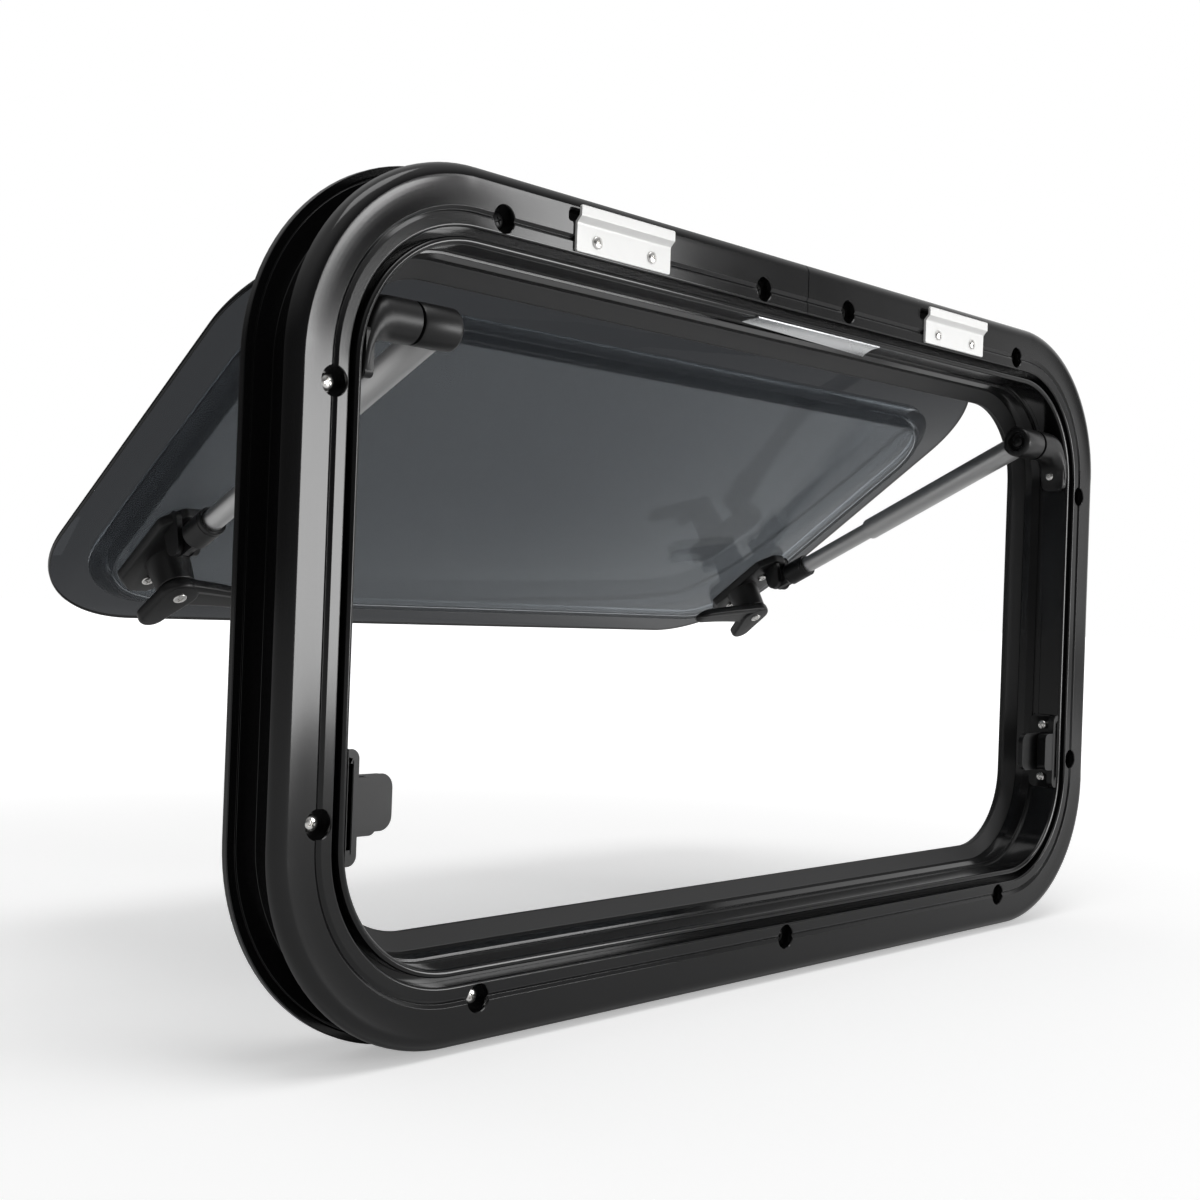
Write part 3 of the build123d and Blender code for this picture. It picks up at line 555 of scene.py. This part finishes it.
# Hanger clips: plate with a joggled lip, and their screws
CLIP_HALF = 35.0
CLIP_SHEET = 1.5
CLIP_TOP = FACE + CLIP_SHEET
CLIP_LIP = FACE + 3.0
clip_section = rounded(
    [(-6.5, FACE), (8.6, FACE), (11.6, CLIP_LIP), (16.5, CLIP_LIP), (16.5, CLIP_LIP + CLIP_SHEET),
     (11.0, CLIP_LIP + CLIP_SHEET), (8.0, CLIP_TOP), (-6.5, CLIP_TOP)],
    [0.2, 0.8, 2.0, 0.3, 0.5, 0.8, 2.0, 0.5], steps=4)
clip_left = CLIP_X - CLIP_HALF
clip_right = CLIP_X + CLIP_HALF
clip_strip = loft([[(x, LINE_H + offset, depth) for offset, depth in clip_section]
                   for x in (clip_left, clip_right)])
clip_outline = rounded(
    [(clip_left, LINE_H - 6.6), (clip_right, LINE_H - 6.6), (clip_right, LINE_H + 16.6),
     (clip_left, LINE_H + 16.6)], 1.4, steps=5)
clip = combined(clip_strip, slab(clip_outline, FACE - 3, FACE + 7), "INTERSECT")
pair("hanger_clip_shape", clip, clip_metal, "frame", WALL, ["hanger_clip"])
clip_places = [(CLIP_X + side * CLIP_SCREWS / 2, LINE_H, CLIP_TOP) for side in (-1, 1)]
pair("clip_screw_heads", screws(clip_places, 3.3, 1.5), screw_steel, "frame", WALL,
     ["clip_screws"])

# Hinge rail and strip stay as CAD nodes
for node in ("hinge_rail", "hinge_strip"):
    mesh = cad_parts[node].data
    mesh.materials.clear()
    mesh.materials.append(black_paint)

# Outer pane with rounded edges and a dark edge band
PANE_W = 325.0
PANE_R = 82.0
PANE_LOW = -354.0
PANE_HIGH = -11.0
pane_outline = rounded([(-PANE_W, PANE_LOW), (PANE_W, PANE_LOW), (PANE_W, PANE_HIGH), (-PANE_W, PANE_HIGH)],
                       PANE_R, steps=30)


def pane_row(height, inset_by):
    """The pane's outline drawn in by an amount, at a height."""
    middle = (PANE_LOW + PANE_HIGH) / 2
    row = []
    for x, y in pane_outline:
        cx = math.copysign(PANE_W - PANE_R, x)
        cy = middle + math.copysign((PANE_HIGH - PANE_LOW) / 2 - PANE_R, y - middle)
        dx = x - cx
        dy = y - cy
        r = math.hypot(dx, dy)
        row.append((cx + dx * (r - inset_by) / r, cy + dy * (r - inset_by) / r, height))
    return row


pane = loft([pane_row(height, inset_by) for height, inset_by in (
    (-3.0, 0.8), (-2.7, 0.2), (-2.2, 0.0), (-0.8, 0.0), (-0.3, 0.2), (0.0, 0.8))])
pane.normal_update()
for face in pane.faces:
    face.material_index = 0 if abs(face.normal.z) > 0.9 else 1
piece("outer_pane_sheet", pane, tinted, "sash", SASH, ["outer_pane"],
      extra=[pane_edge])


# Inner pane: thin moulded pan, its rim bonded to the outer pane
PAN_W = 303.0
PAN_R = 60.0
PAN_LOW = -332.0
PAN_HIGH = -52.0


def pan_row(inset_by, height, steps=26):
    """Rounded rectangle of the pan's outline drawn in by an amount, at a height."""
    r = PAN_R - inset_by
    row = []
    for k, (sx, sy) in enumerate(((1, 1), (-1, 1), (-1, -1), (1, -1))):
        cx = sx * (PAN_W - PAN_R)
        cy = PAN_HIGH - PAN_R if sy > 0 else PAN_LOW + PAN_R
        for i in range(steps + 1):
            angle = math.pi / 2 * (k + i / steps)
            row.append((cx + r * math.cos(angle), cy + r * math.sin(angle), height))
    return row


# Rows of the pan as (inset, height): down its hollow, then out and up its skin
hollow = ((14.2, 7.5), (12.9, 7.2), (12.0, 6.4), (11.4, 4.0), (11.0, 0.9), (11.2, 0.4))
skin = ((0.6, 0.05), (0.0, 0.6), (0.0, 1.9), (0.6, 2.5), (6.6, 2.5), (7.6, 2.8), (8.2, 3.6), (8.8, 7.4),
        (9.2, 8.8), (10.2, 9.7), (11.6, 10.0))
pan = loft([pan_row(inset_by, height) for inset_by, height in hollow + skin])
# All faces but the pan's two big flat ones take the rim material with its painted shade
for face in pan.faces:
    face.material_index = 1 if len(face.verts) == 4 else 0
piece("inner_pane_pan", pan, clear, "sash", SASH, ["inner_pane"], crease=1.2,
      extra=[pan_rim_painted_shade])

# Latch bases: drafted plate with cut corners, barrel with a notch, ears for the stay's foot
BASE_X = 268.0
BASE_Y = -264.0
BASE_HALF_X = 17.0
BASE_HALF_Y = 38.0
BASE_CUT = 11.0
BASE_TOP = 16.0
BARREL_TOP = 34.1
short_x = BASE_HALF_X - BASE_CUT
short_y = BASE_HALF_Y - BASE_CUT
corners = [(-BASE_HALF_X, short_y), (-short_x, BASE_HALF_Y), (short_x, BASE_HALF_Y),
           (BASE_HALF_X, short_y), (BASE_HALF_X, -short_y), (short_x, -BASE_HALF_Y),
           (-short_x, -BASE_HALF_Y), (-BASE_HALF_X, -short_y)]
base_outline = rounded([(BASE_X + x, BASE_Y + y) for x, y in corners], 5.0, steps=5)


def base_row(height, inset_by):
    """The base plate's outline drawn in on each side by an amount, at a height."""
    return [(BASE_X + (x - BASE_X) * (1 - inset_by / BASE_HALF_X),
             BASE_Y + (y - BASE_Y) * (1 - inset_by / BASE_HALF_Y), height) for x, y in base_outline]


plate = loft([base_row(height, inset_by) for height, inset_by in (
    (10.05, 0.3), (10.4, 0.0), (14.8, 0.4), (15.6, 0.9), (BASE_TOP, 1.8))])
barrel = turned([(0, 15.5), (13.4, 15.5), (13.0, 16.2), (11.2, 33.6), (10.8, BARREL_TOP),
                 (0, BARREL_TOP)], 48)
notch = slab([(258.5, -285), (269.5, -285), (269.5, -270.5), (258.5, -270.5)], 30.6, 36.0)
latch_base = combined(combined(plate, moved(barrel, at(LATCH_X, LATCH_Y)), "UNION"), notch)
for side in (-1, 1):
    x = PIVOT.x + side * 5.5
    ear = hull(circle(-FOOT_DOWN, FOOT_UP, 6.0, 28) + circle(-FOOT_DOWN, 13.0, 3.0, 16)
               + circle(9.0 - FOOT_DOWN, 13.0, 3.0, 16))
    ear_mesh = loft([[(x + dx * 2.0, y, h) for y, h in ear] for dx in (-1, 1)])
    latch_base = combined(latch_base, soften(ear_mesh, 0.5), "UNION")
pair("latch_base_shape", latch_base, black_plastic, "sash", SASH, ["latch_base"])

# Base screws and lever screws
LEVER_TOP = 41.5
base_places = [(BASE_X - 0.5, y, BASE_TOP) for y in (-249, -289)]
pair("base_screw_heads", screws(base_places, 3.8, 1.8), screw_steel, "sash", SASH,
     ["base_screws"])
pair("lever_screw_head", moved(screw_head(4.0, 1.6), at(LATCH_X, LATCH_Y, LEVER_TOP)), screw_steel,
     "lever", SASH, ["lever_screw"])

# Levers: hub, arched arm with a raised spine, short lobe
LOBE_REACH = 23.0
LOBE_TURN = math.radians(15)
HUB = (LATCH_X, LATCH_Y, 12.0)
LOBE = (LATCH_X + LOBE_REACH * math.sin(LOBE_TURN), LATCH_Y - LOBE_REACH * math.cos(LOBE_TURN), 8.2)


def hub_row(height, inset_by, count=72):
    """Outline round the hub's and the lobe's circles, drawn in by an amount, at a height."""
    row = []
    for dx, dy in circle(0, 0, 1.0, count):
        x, y, r = max((HUB, LOBE), key=lambda c: c[0] * dx + c[1] * dy + c[2])
        row.append((x + (r - inset_by) * dx, y + (r - inset_by) * dy, height))
    return row


hub = loft([hub_row(height, inset_by) for height, inset_by in (
    (34.5, 1.6), (34.8, 0.8), (35.4, 0.25), (36.4, 0.0), (39.0, 0.0), (40.2, 0.3), (41.0, 0.9),
    (41.35, 1.6), (LEVER_TOP, 2.4))])
ARM_STEPS = 24
ARM_LENGTH = 58.0
ARM_DROOP = 8.0
TIP_FROM = 0.87


def arm_row(t):
    """Section of the arm at a share of its length; its end rounds off from TIP_FROM on."""
    y = LATCH_Y - ARM_DROOP * t ** 1.6
    tip = math.sqrt(max(0.03, 1 - (max(0.0, t - TIP_FROM) / (1 - TIP_FROM)) ** 2 * 0.97))
    half = (11.4 - 4.6 * t ** 0.8) * tip
    bottom = 34.6 + 1.8 * (1 - tip)
    spine = 41.3 - 0.6 * t - 2.6 * (1 - tip)
    side_top = 40.1 - 0.4 * t - 2.2 * (1 - tip)
    outline = rounded(
        [(y - half, bottom), (y + half, bottom), (y + half, spine - 0.3), (y + half * 0.62, spine),
         (y + half * 0.3, side_top), (y - half, side_top)],
        [2.0, 2.0, 1.6, 1.2, 1.4, 2.4], steps=3, flat=0)
    return [(LATCH_X - 4 - ARM_LENGTH * t, across, height) for across, height in outline]


arm = loft([arm_row(k / ARM_STEPS) for k in range(ARM_STEPS + 1)])
pair("latch_lever_shape", combined(hub, arm, "UNION"), black_plastic, "lever", SASH,
     ["latch_lever"], crease=0.8)

# Stay tubes and rods; the tube's top is cut round to the swivel's barrel
TUBE_R = 8.0
TUBE_BORE = 6.6
TUBE_END = 143.0
ROD_R = 6.25
saddle = moved(turned([(0, -20), (10.7, -20), (10.7, 20), (0, 20)], 64), ACROSS)
tube = turned([(TUBE_BORE, 1), (TUBE_R - 0.1, 1), (TUBE_R, 2), (TUBE_R, TUBE_END - 1.8),
               (TUBE_R - 0.4, TUBE_END - 0.4), (TUBE_R - 1, TUBE_END), (TUBE_BORE, TUBE_END),
               (TUBE_BORE, 1)], 56)
pair("stay_tube_shape", combined(tube, saddle), stay_metal, "stay", STAY, ["stay_tube"])
rod_end = STAY_REACH - 18.0
rod = turned([(0, 103.0), (5.9, 103.0), (ROD_R, 103.4), (ROD_R, rod_end - 0.3), (6.0, rod_end),
              (0, rod_end)], 48)
pair("stay_rod_shape", rod, stay_metal, "rod", STAY, ["stay_rod"])

# Rod sleeves: collared end fitting with a flat tang
SLEEVE_R = 8.5
near = STAY_REACH - 32.0
collar = turned([(6.45, near + 14.0), (6.45, near + 0.2), (6.8, near), (8.2, near),
                 (SLEEVE_R, near + 0.4), (SLEEVE_R, near + 2.2), (8.2, near + 2.5), (8.2, near + 2.9),
                 (SLEEVE_R, near + 3.2), (SLEEVE_R, near + 18.6), (7.6, near + 20.0), (0, near + 20.0),
                 (0, near + 14.0)], 48)
tang_outline = hull(circle(0, STAY_REACH, 6.0, 32) + [(-6.0, STAY_REACH - 13.0), (6.0, STAY_REACH - 13.0)])
tang = soften(loft([[(x, y, z) for y, z in tang_outline] for x in (-3.0, 3.0)]), 0.6)
eye = moved(turned([(0, -5), (2.5, -5), (2.5, 5), (0, 5)], 28), at(0, 0, STAY_REACH) @ ACROSS)
sleeve = combined(combined(collar, tang, "UNION"), eye)
pair("rod_sleeve_shape", sleeve, black_plastic, "rod", STAY, ["rod_sleeve"])

# Stay swivels: barrel with a recessed bolt, and the neck into the tube
BARREL_R = 10.5
swivel_barrel = turned([
    (0, -7.5), (3.2, -7.5), (3.6, -7.1), (3.6, -5.0), (6.2, -5.0), (6.5, -8.4), (6.9, -9.0),
    (9.0, -9.0), (9.9, -8.6), (10.4, -7.7), (BARREL_R, -6.8), (BARREL_R, 13.2), (10.1, 14.0),
    (0, 14.0)], 64)
neck = loft([[(x, y, height) for x, y in circle(0, 0, r, 40)]
             for r, height in ((7.8, 6.0), (7.4, 11.0), (6.3, 13.2), (6.3, 22.0))])
swivel = combined(moved(swivel_barrel, ACROSS), neck, "UNION")
pair("stay_swivel_shape", swivel, black_plastic, "stay", STAY, ["stay_swivel"],
     crease=0.8)


def squircle(x, z, x_outer, z_outer, half_width, power, count=40):
    """Section between two points of the XZ plane, from round (power 2) to nearly square."""
    section = []
    for c, d in circle(0, 0, 1.0, count):
        share = (1 + math.copysign(abs(c) ** (2 / power), c)) / 2
        y = PIVOT.y + half_width * math.copysign(abs(d) ** (2 / power), d)
        section.append((x + (x_outer - x) * share, y, z + (z_outer - z) * share))
    return section


# Stay brackets: the barrel bends down into a plate with a raised rim, screwed to the jamb
# Each row of the elbow has its inner x and z, outer x and z, half width and squareness
BRACKET_END = 288.2
elbow = loft([squircle(*row) for row in (
    (BRACKET_END, PIVOT.z - BARREL_R, BRACKET_END, PIVOT.z + BARREL_R, BARREL_R, 2),
    (302, PIVOT.z - BARREL_R, 302, PIVOT.z + BARREL_R, BARREL_R, 2),
    (305.5, 120.1, 307.2, 141.0, BARREL_R, 2.1), (308.5, 119.0, 311.6, 138.2, BARREL_R, 2.3),
    (311.5, 117.2, 314.8, 132.8, 10.4, 2.6), (314.0, 114.8, 317.2, 126.2, 10.3, 3.0),
    (315.9, 111.5, 318.8, 119.5, 10.2, 3.6), (316.9, 107.5, 320.0, 112.0, 10.1, 4.2),
    (317.3, 104.0, 320.4, 105.5, 9.6, 4.5), (317.5, 101.8, 320.4, 102.3, 8.0, 4.5),
    (317.8, 100.3, 320.3, 100.5, 5.5, 4.5))])
rim_outline = rounded([(25.6, 101.2), (31.4, 101.2), (31.4, 124.0), (27.4, 124.0)],
                      [1.5, 4.0, 2.0, 2.0])
rim = moved(slab(rim_outline, -319.4, -314.8), JAMB)
core = moved(turned([(0, 286.3), (8.3, 286.3), (8.3, 290.0), (0, 290.0)], 40),
             at(0, PIVOT.y, PIVOT.z) @ ACROSS)
bracket = combined(combined(elbow, rim, "UNION"), core, "UNION")
pair("stay_bracket_shape", bracket, black_plastic, "frame", DRAWN, ["stay_bracket"],
     crease=0.7)

# Strikers: rounded plate with a raised rim, a block, and the tongue that the lobe turns behind
STRIKER_HALF = 26.0
STRIKER_PLATE = 3.0
FITTING_DEPTH = 20.0
plate_outline = rounded([(11, STRIKER_Z - STRIKER_HALF), (31, STRIKER_Z - STRIKER_HALF),
                         (31, STRIKER_Z + STRIKER_HALF), (11, STRIKER_Z + STRIKER_HALF)],
                        [4, 7, 7, 4], steps=8)
striker = soften(slab(plate_outline, -JAMB_X, STRIKER_PLATE - JAMB_X), 0.5)
# Rim, block and tongue: two depths, reach from the jamb, half height and corner of each
for near_depth, far_depth, reach_out, half, corner in (
        (26.5, 31.0, 6.0, STRIKER_HALF, 4.4), (24.0, 30.8, 16.8, 13.0, 4.0),
        (17.5, 21.5, 32.8, 13.0, 6.5)):
    root = 0.4 - JAMB_X
    end = reach_out - JAMB_X
    block_outline = rounded([(root, STRIKER_Z - half), (end, STRIKER_Z - half), (end, STRIKER_Z + half),
                             (root, STRIKER_Z + half)], [0.3, corner, corner, 0.3], steps=8, share=0.9)
    block = loft([[(u, v, w) for w, v in block_outline] for u in (near_depth, far_depth)])
    striker = combined(striker, soften(block, 0.7, 3), "UNION")
pair("striker_shape", striker, black_plastic, "frame", JAMB, ["striker"], crease=0.7)

# Screws of the brackets and strikers
fitting_places = [(FITTING_DEPTH, 111.0, 4.6 - JAMB_X),
                  (FITTING_DEPTH, STRIKER_Z + 19, STRIKER_PLATE - JAMB_X),
                  (FITTING_DEPTH, STRIKER_Z - 19, STRIKER_PLATE - JAMB_X)]
pair("fitting_screw_heads", screws(fitting_places, 3.2, 1.4), screw_steel, "frame",
     JAMB, ["fitting_screws"])

# Splice plate: sheet across the frame's seam, curled more and more towards its right end
SPLICE_LEFT = -45.0
SPLICE_LENGTH = 120.0
SPLICE_WIDTH = 12.6
SPLICE_SHEET = 0.8
SPLICE_FACE = 32.8
SPLICE_TOP = 170.9
CURL_LEFT = 0.9
CURL_MORE = 3.4
SPLICE_STEPS = 24
WIDTH_STEPS = 10


def splice_row(along):
    """Section of the sheet at a share of its length, its upper side first."""
    x = SPLICE_LEFT + SPLICE_LENGTH * along
    curl = CURL_LEFT + CURL_MORE * along
    upper = []
    for k in range(WIDTH_STEPS + 1):
        t = k / WIDTH_STEPS
        upper.append((x, SPLICE_WIDTH * t - SPLICE_FACE, SPLICE_TOP - curl * t ** 2.2))
    return upper + [(x, y, z - SPLICE_SHEET) for x, y, z in upper[::-1]]


splice = loft([splice_row(k / SPLICE_STEPS) for k in range(SPLICE_STEPS + 1)])
piece("splice_plate_sheet", splice, strip_metal, "frame", covers=["splice_plate"])

# Floor and light, in the row's metres: the floor's glow grows between two distances, and what
# reflections see of the studio grows to the right (STUDIO_EDGE) and upwards (STUDIO_RISE)
FLOOR_Z = -0.0075
FLOOR_HALF = 30.0
FLOOR_WHITE = 0.9
FLOOR_GLOW_NEAR = 0.38
FLOOR_GLOW_FAR = 1.0
GLOW_FROM = 0.5
GLOW_TO = 2.2
FLOOR_MIRRORED = 0.05
STUDIO_DIM = 0.09
STUDIO_LIGHT = 0.95
STUDIO_ABOVE = 0.6
STUDIO_EDGE = (0.72, 0.95)
STUDIO_RISE = (0.2, 0.9)
AMBIENT = 0.4


def maths(tree, operation, first, second):
    """One math node; each input is a socket or a number."""
    node = tree.nodes.new("ShaderNodeMath")
    node.operation = operation
    for socket, value in zip(node.inputs, (first, second)):
        if isinstance(value, (int, float)):
            socket.default_value = value
        else:
            tree.links.new(value, socket)
    return node.outputs[0]


def ramped(tree, value, low, high, at_low, at_high):
    """Smooth change of a value from one level to another."""
    node = tree.nodes.new("ShaderNodeMapRange")
    node.interpolation_type = "SMOOTHSTEP"
    for key, number in (("From Min", low), ("From Max", high), ("To Min", at_low), ("To Max", at_high)):
        node.inputs[key].default_value = number
    tree.links.new(value, node.inputs["Value"])
    return node.outputs["Result"]


def floor_paper():
    """White paper: lit by the lamps, with a glow where the background is seen."""
    material = bpy.data.materials.new("floor_white")
    material.use_nodes = True
    tree = material.node_tree
    tree.nodes.clear()
    diffuse = tree.nodes.new("ShaderNodeBsdfDiffuse")
    diffuse.inputs["Color"].default_value = (FLOOR_WHITE, FLOOR_WHITE, FLOOR_WHITE, 1)
    emission = tree.nodes.new("ShaderNodeEmission")
    total = tree.nodes.new("ShaderNodeAddShader")
    output = tree.nodes.new("ShaderNodeOutputMaterial")
    path = tree.nodes.new("ShaderNodeLightPath")
    place = tree.nodes.new("ShaderNodeTexCoord")
    distance = tree.nodes.new("ShaderNodeVectorMath")
    distance.operation = "LENGTH"
    tree.links.new(place.outputs["Object"], distance.inputs[0])
    level = ramped(tree, distance.outputs["Value"], GLOW_FROM, GLOW_TO, FLOOR_GLOW_NEAR, FLOOR_GLOW_FAR)
    direct = maths(tree, "MAXIMUM", path.outputs["Is Camera Ray"], path.outputs["Is Transmission Ray"])
    mirrored_part = maths(tree, "MULTIPLY", path.outputs["Is Glossy Ray"], FLOOR_MIRRORED)
    seen = maths(tree, "MAXIMUM", direct, mirrored_part)
    tree.links.new(maths(tree, "MULTIPLY", seen, level), emission.inputs["Strength"])
    tree.links.new(diffuse.outputs[0], total.inputs[0])
    tree.links.new(emission.outputs[0], total.inputs[1])
    tree.links.new(total.outputs[0], output.inputs["Surface"])
    return material


def studio_world():
    """White background; reflections see a studio that is dim on the left and lighter on the right.

    A ray that passes the pane counts as glossy too, so it is taken out of the mirrored ones.
    """
    world = bpy.data.worlds.new("studio")
    world.use_nodes = True
    tree = world.node_tree
    background = tree.nodes["Background"]
    background.inputs["Color"].default_value = (1, 1, 1, 1)
    path = tree.nodes.new("ShaderNodeLightPath")
    place = tree.nodes.new("ShaderNodeTexCoord")
    parts = tree.nodes.new("ShaderNodeSeparateXYZ")
    tree.links.new(place.outputs["Generated"], parts.inputs[0])
    aside = ramped(tree, parts.outputs["X"], *STUDIO_EDGE, STUDIO_DIM, STUDIO_LIGHT)
    above = ramped(tree, parts.outputs["Z"], *STUDIO_RISE, 0.0, STUDIO_ABOVE)
    seen = maths(tree, "MAXIMUM", path.outputs["Is Camera Ray"], path.outputs["Is Transmission Ray"])
    plain = maths(tree, "ADD", maths(tree, "MULTIPLY", seen, 1.0 - AMBIENT), AMBIENT)
    mirrored_ray = maths(tree, "SUBTRACT", path.outputs["Is Glossy Ray"],
                         path.outputs["Is Transmission Ray"])
    shown = tree.nodes.new("ShaderNodeMix")
    tree.links.new(maths(tree, "MAXIMUM", mirrored_ray, 0.0), shown.inputs["Factor"])
    tree.links.new(plain, shown.inputs["A"])
    tree.links.new(maths(tree, "ADD", aside, above), shown.inputs["B"])
    tree.links.new(shown.outputs["Result"], background.inputs["Strength"])
    return world


def lamp(name, place, target, width, height, power):
    """Rectangular soft light aimed at a point."""
    light = bpy.data.lights.new(name, "AREA")
    light.shape = "RECTANGLE"
    light.size = width
    light.size_y = height
    light.energy = power
    item = bpy.data.objects.new(name, light)
    item.location = place
    item.rotation_euler = (Vector(target) - Vector(place)).to_track_quat("-Z", "Y").to_euler()
    bpy.context.scene.collection.objects.link(item)


bpy.context.scene.world = studio_world()
lamp("side_softbox", (1.43, -2.05, 0.355), (1.43, 0.0, 0.355), 1.24, 0.73, 31.5)
lamp("high_softbox", (1.79, -2.05, 1.1), (1.79, 0.0, 1.1), 0.46, 0.4, 5.0)
lamp("top_softbox", (-0.3, -0.6, 2.4), (0.0, 0.2, 0.2), 1.4, 1.0, 15.0)

# White floor under the lowest edge of the flange
floor_mesh = bpy.data.meshes.new("floor")
floor_mesh.from_pydata([(sx * FLOOR_HALF, sy * FLOOR_HALF, FLOOR_Z)
                        for sx, sy in ((-1, -1), (1, -1), (1, 1), (-1, 1))], [], [(0, 1, 2, 3)])
floor_mesh.materials.append(floor_paper())
floor = bpy.data.objects.new("floor", floor_mesh)
bpy.context.scene.collection.objects.link(floor)

# Camera at the photograph's viewpoint, solved from the ring's screw holes
CAMERA_PLACE = (-0.75085, -0.60296, 0.20586)
CAMERA_RIGHT = Vector((0.69754712, -0.71565418, 0.03559646))
CAMERA_UP = Vector((-0.02900143, 0.02143973, 0.99934942))
CAMERA_BACK = Vector((-0.71595177, -0.69812566, -0.00579977))
camera = bpy.data.cameras.new("camera")
camera.lens = 47.73
camera.sensor_width = 36.0
camera.clip_start = 0.01
camera.clip_end = 200.0
viewpoint = bpy.data.objects.new("camera", camera)
viewpoint.matrix_world = axes(CAMERA_PLACE, CAMERA_RIGHT, CAMERA_UP, CAMERA_BACK)
bpy.context.scene.collection.objects.link(viewpoint)
bpy.context.scene.camera = viewpoint

bpy.context.scene.view_settings.view_transform = "Standard"
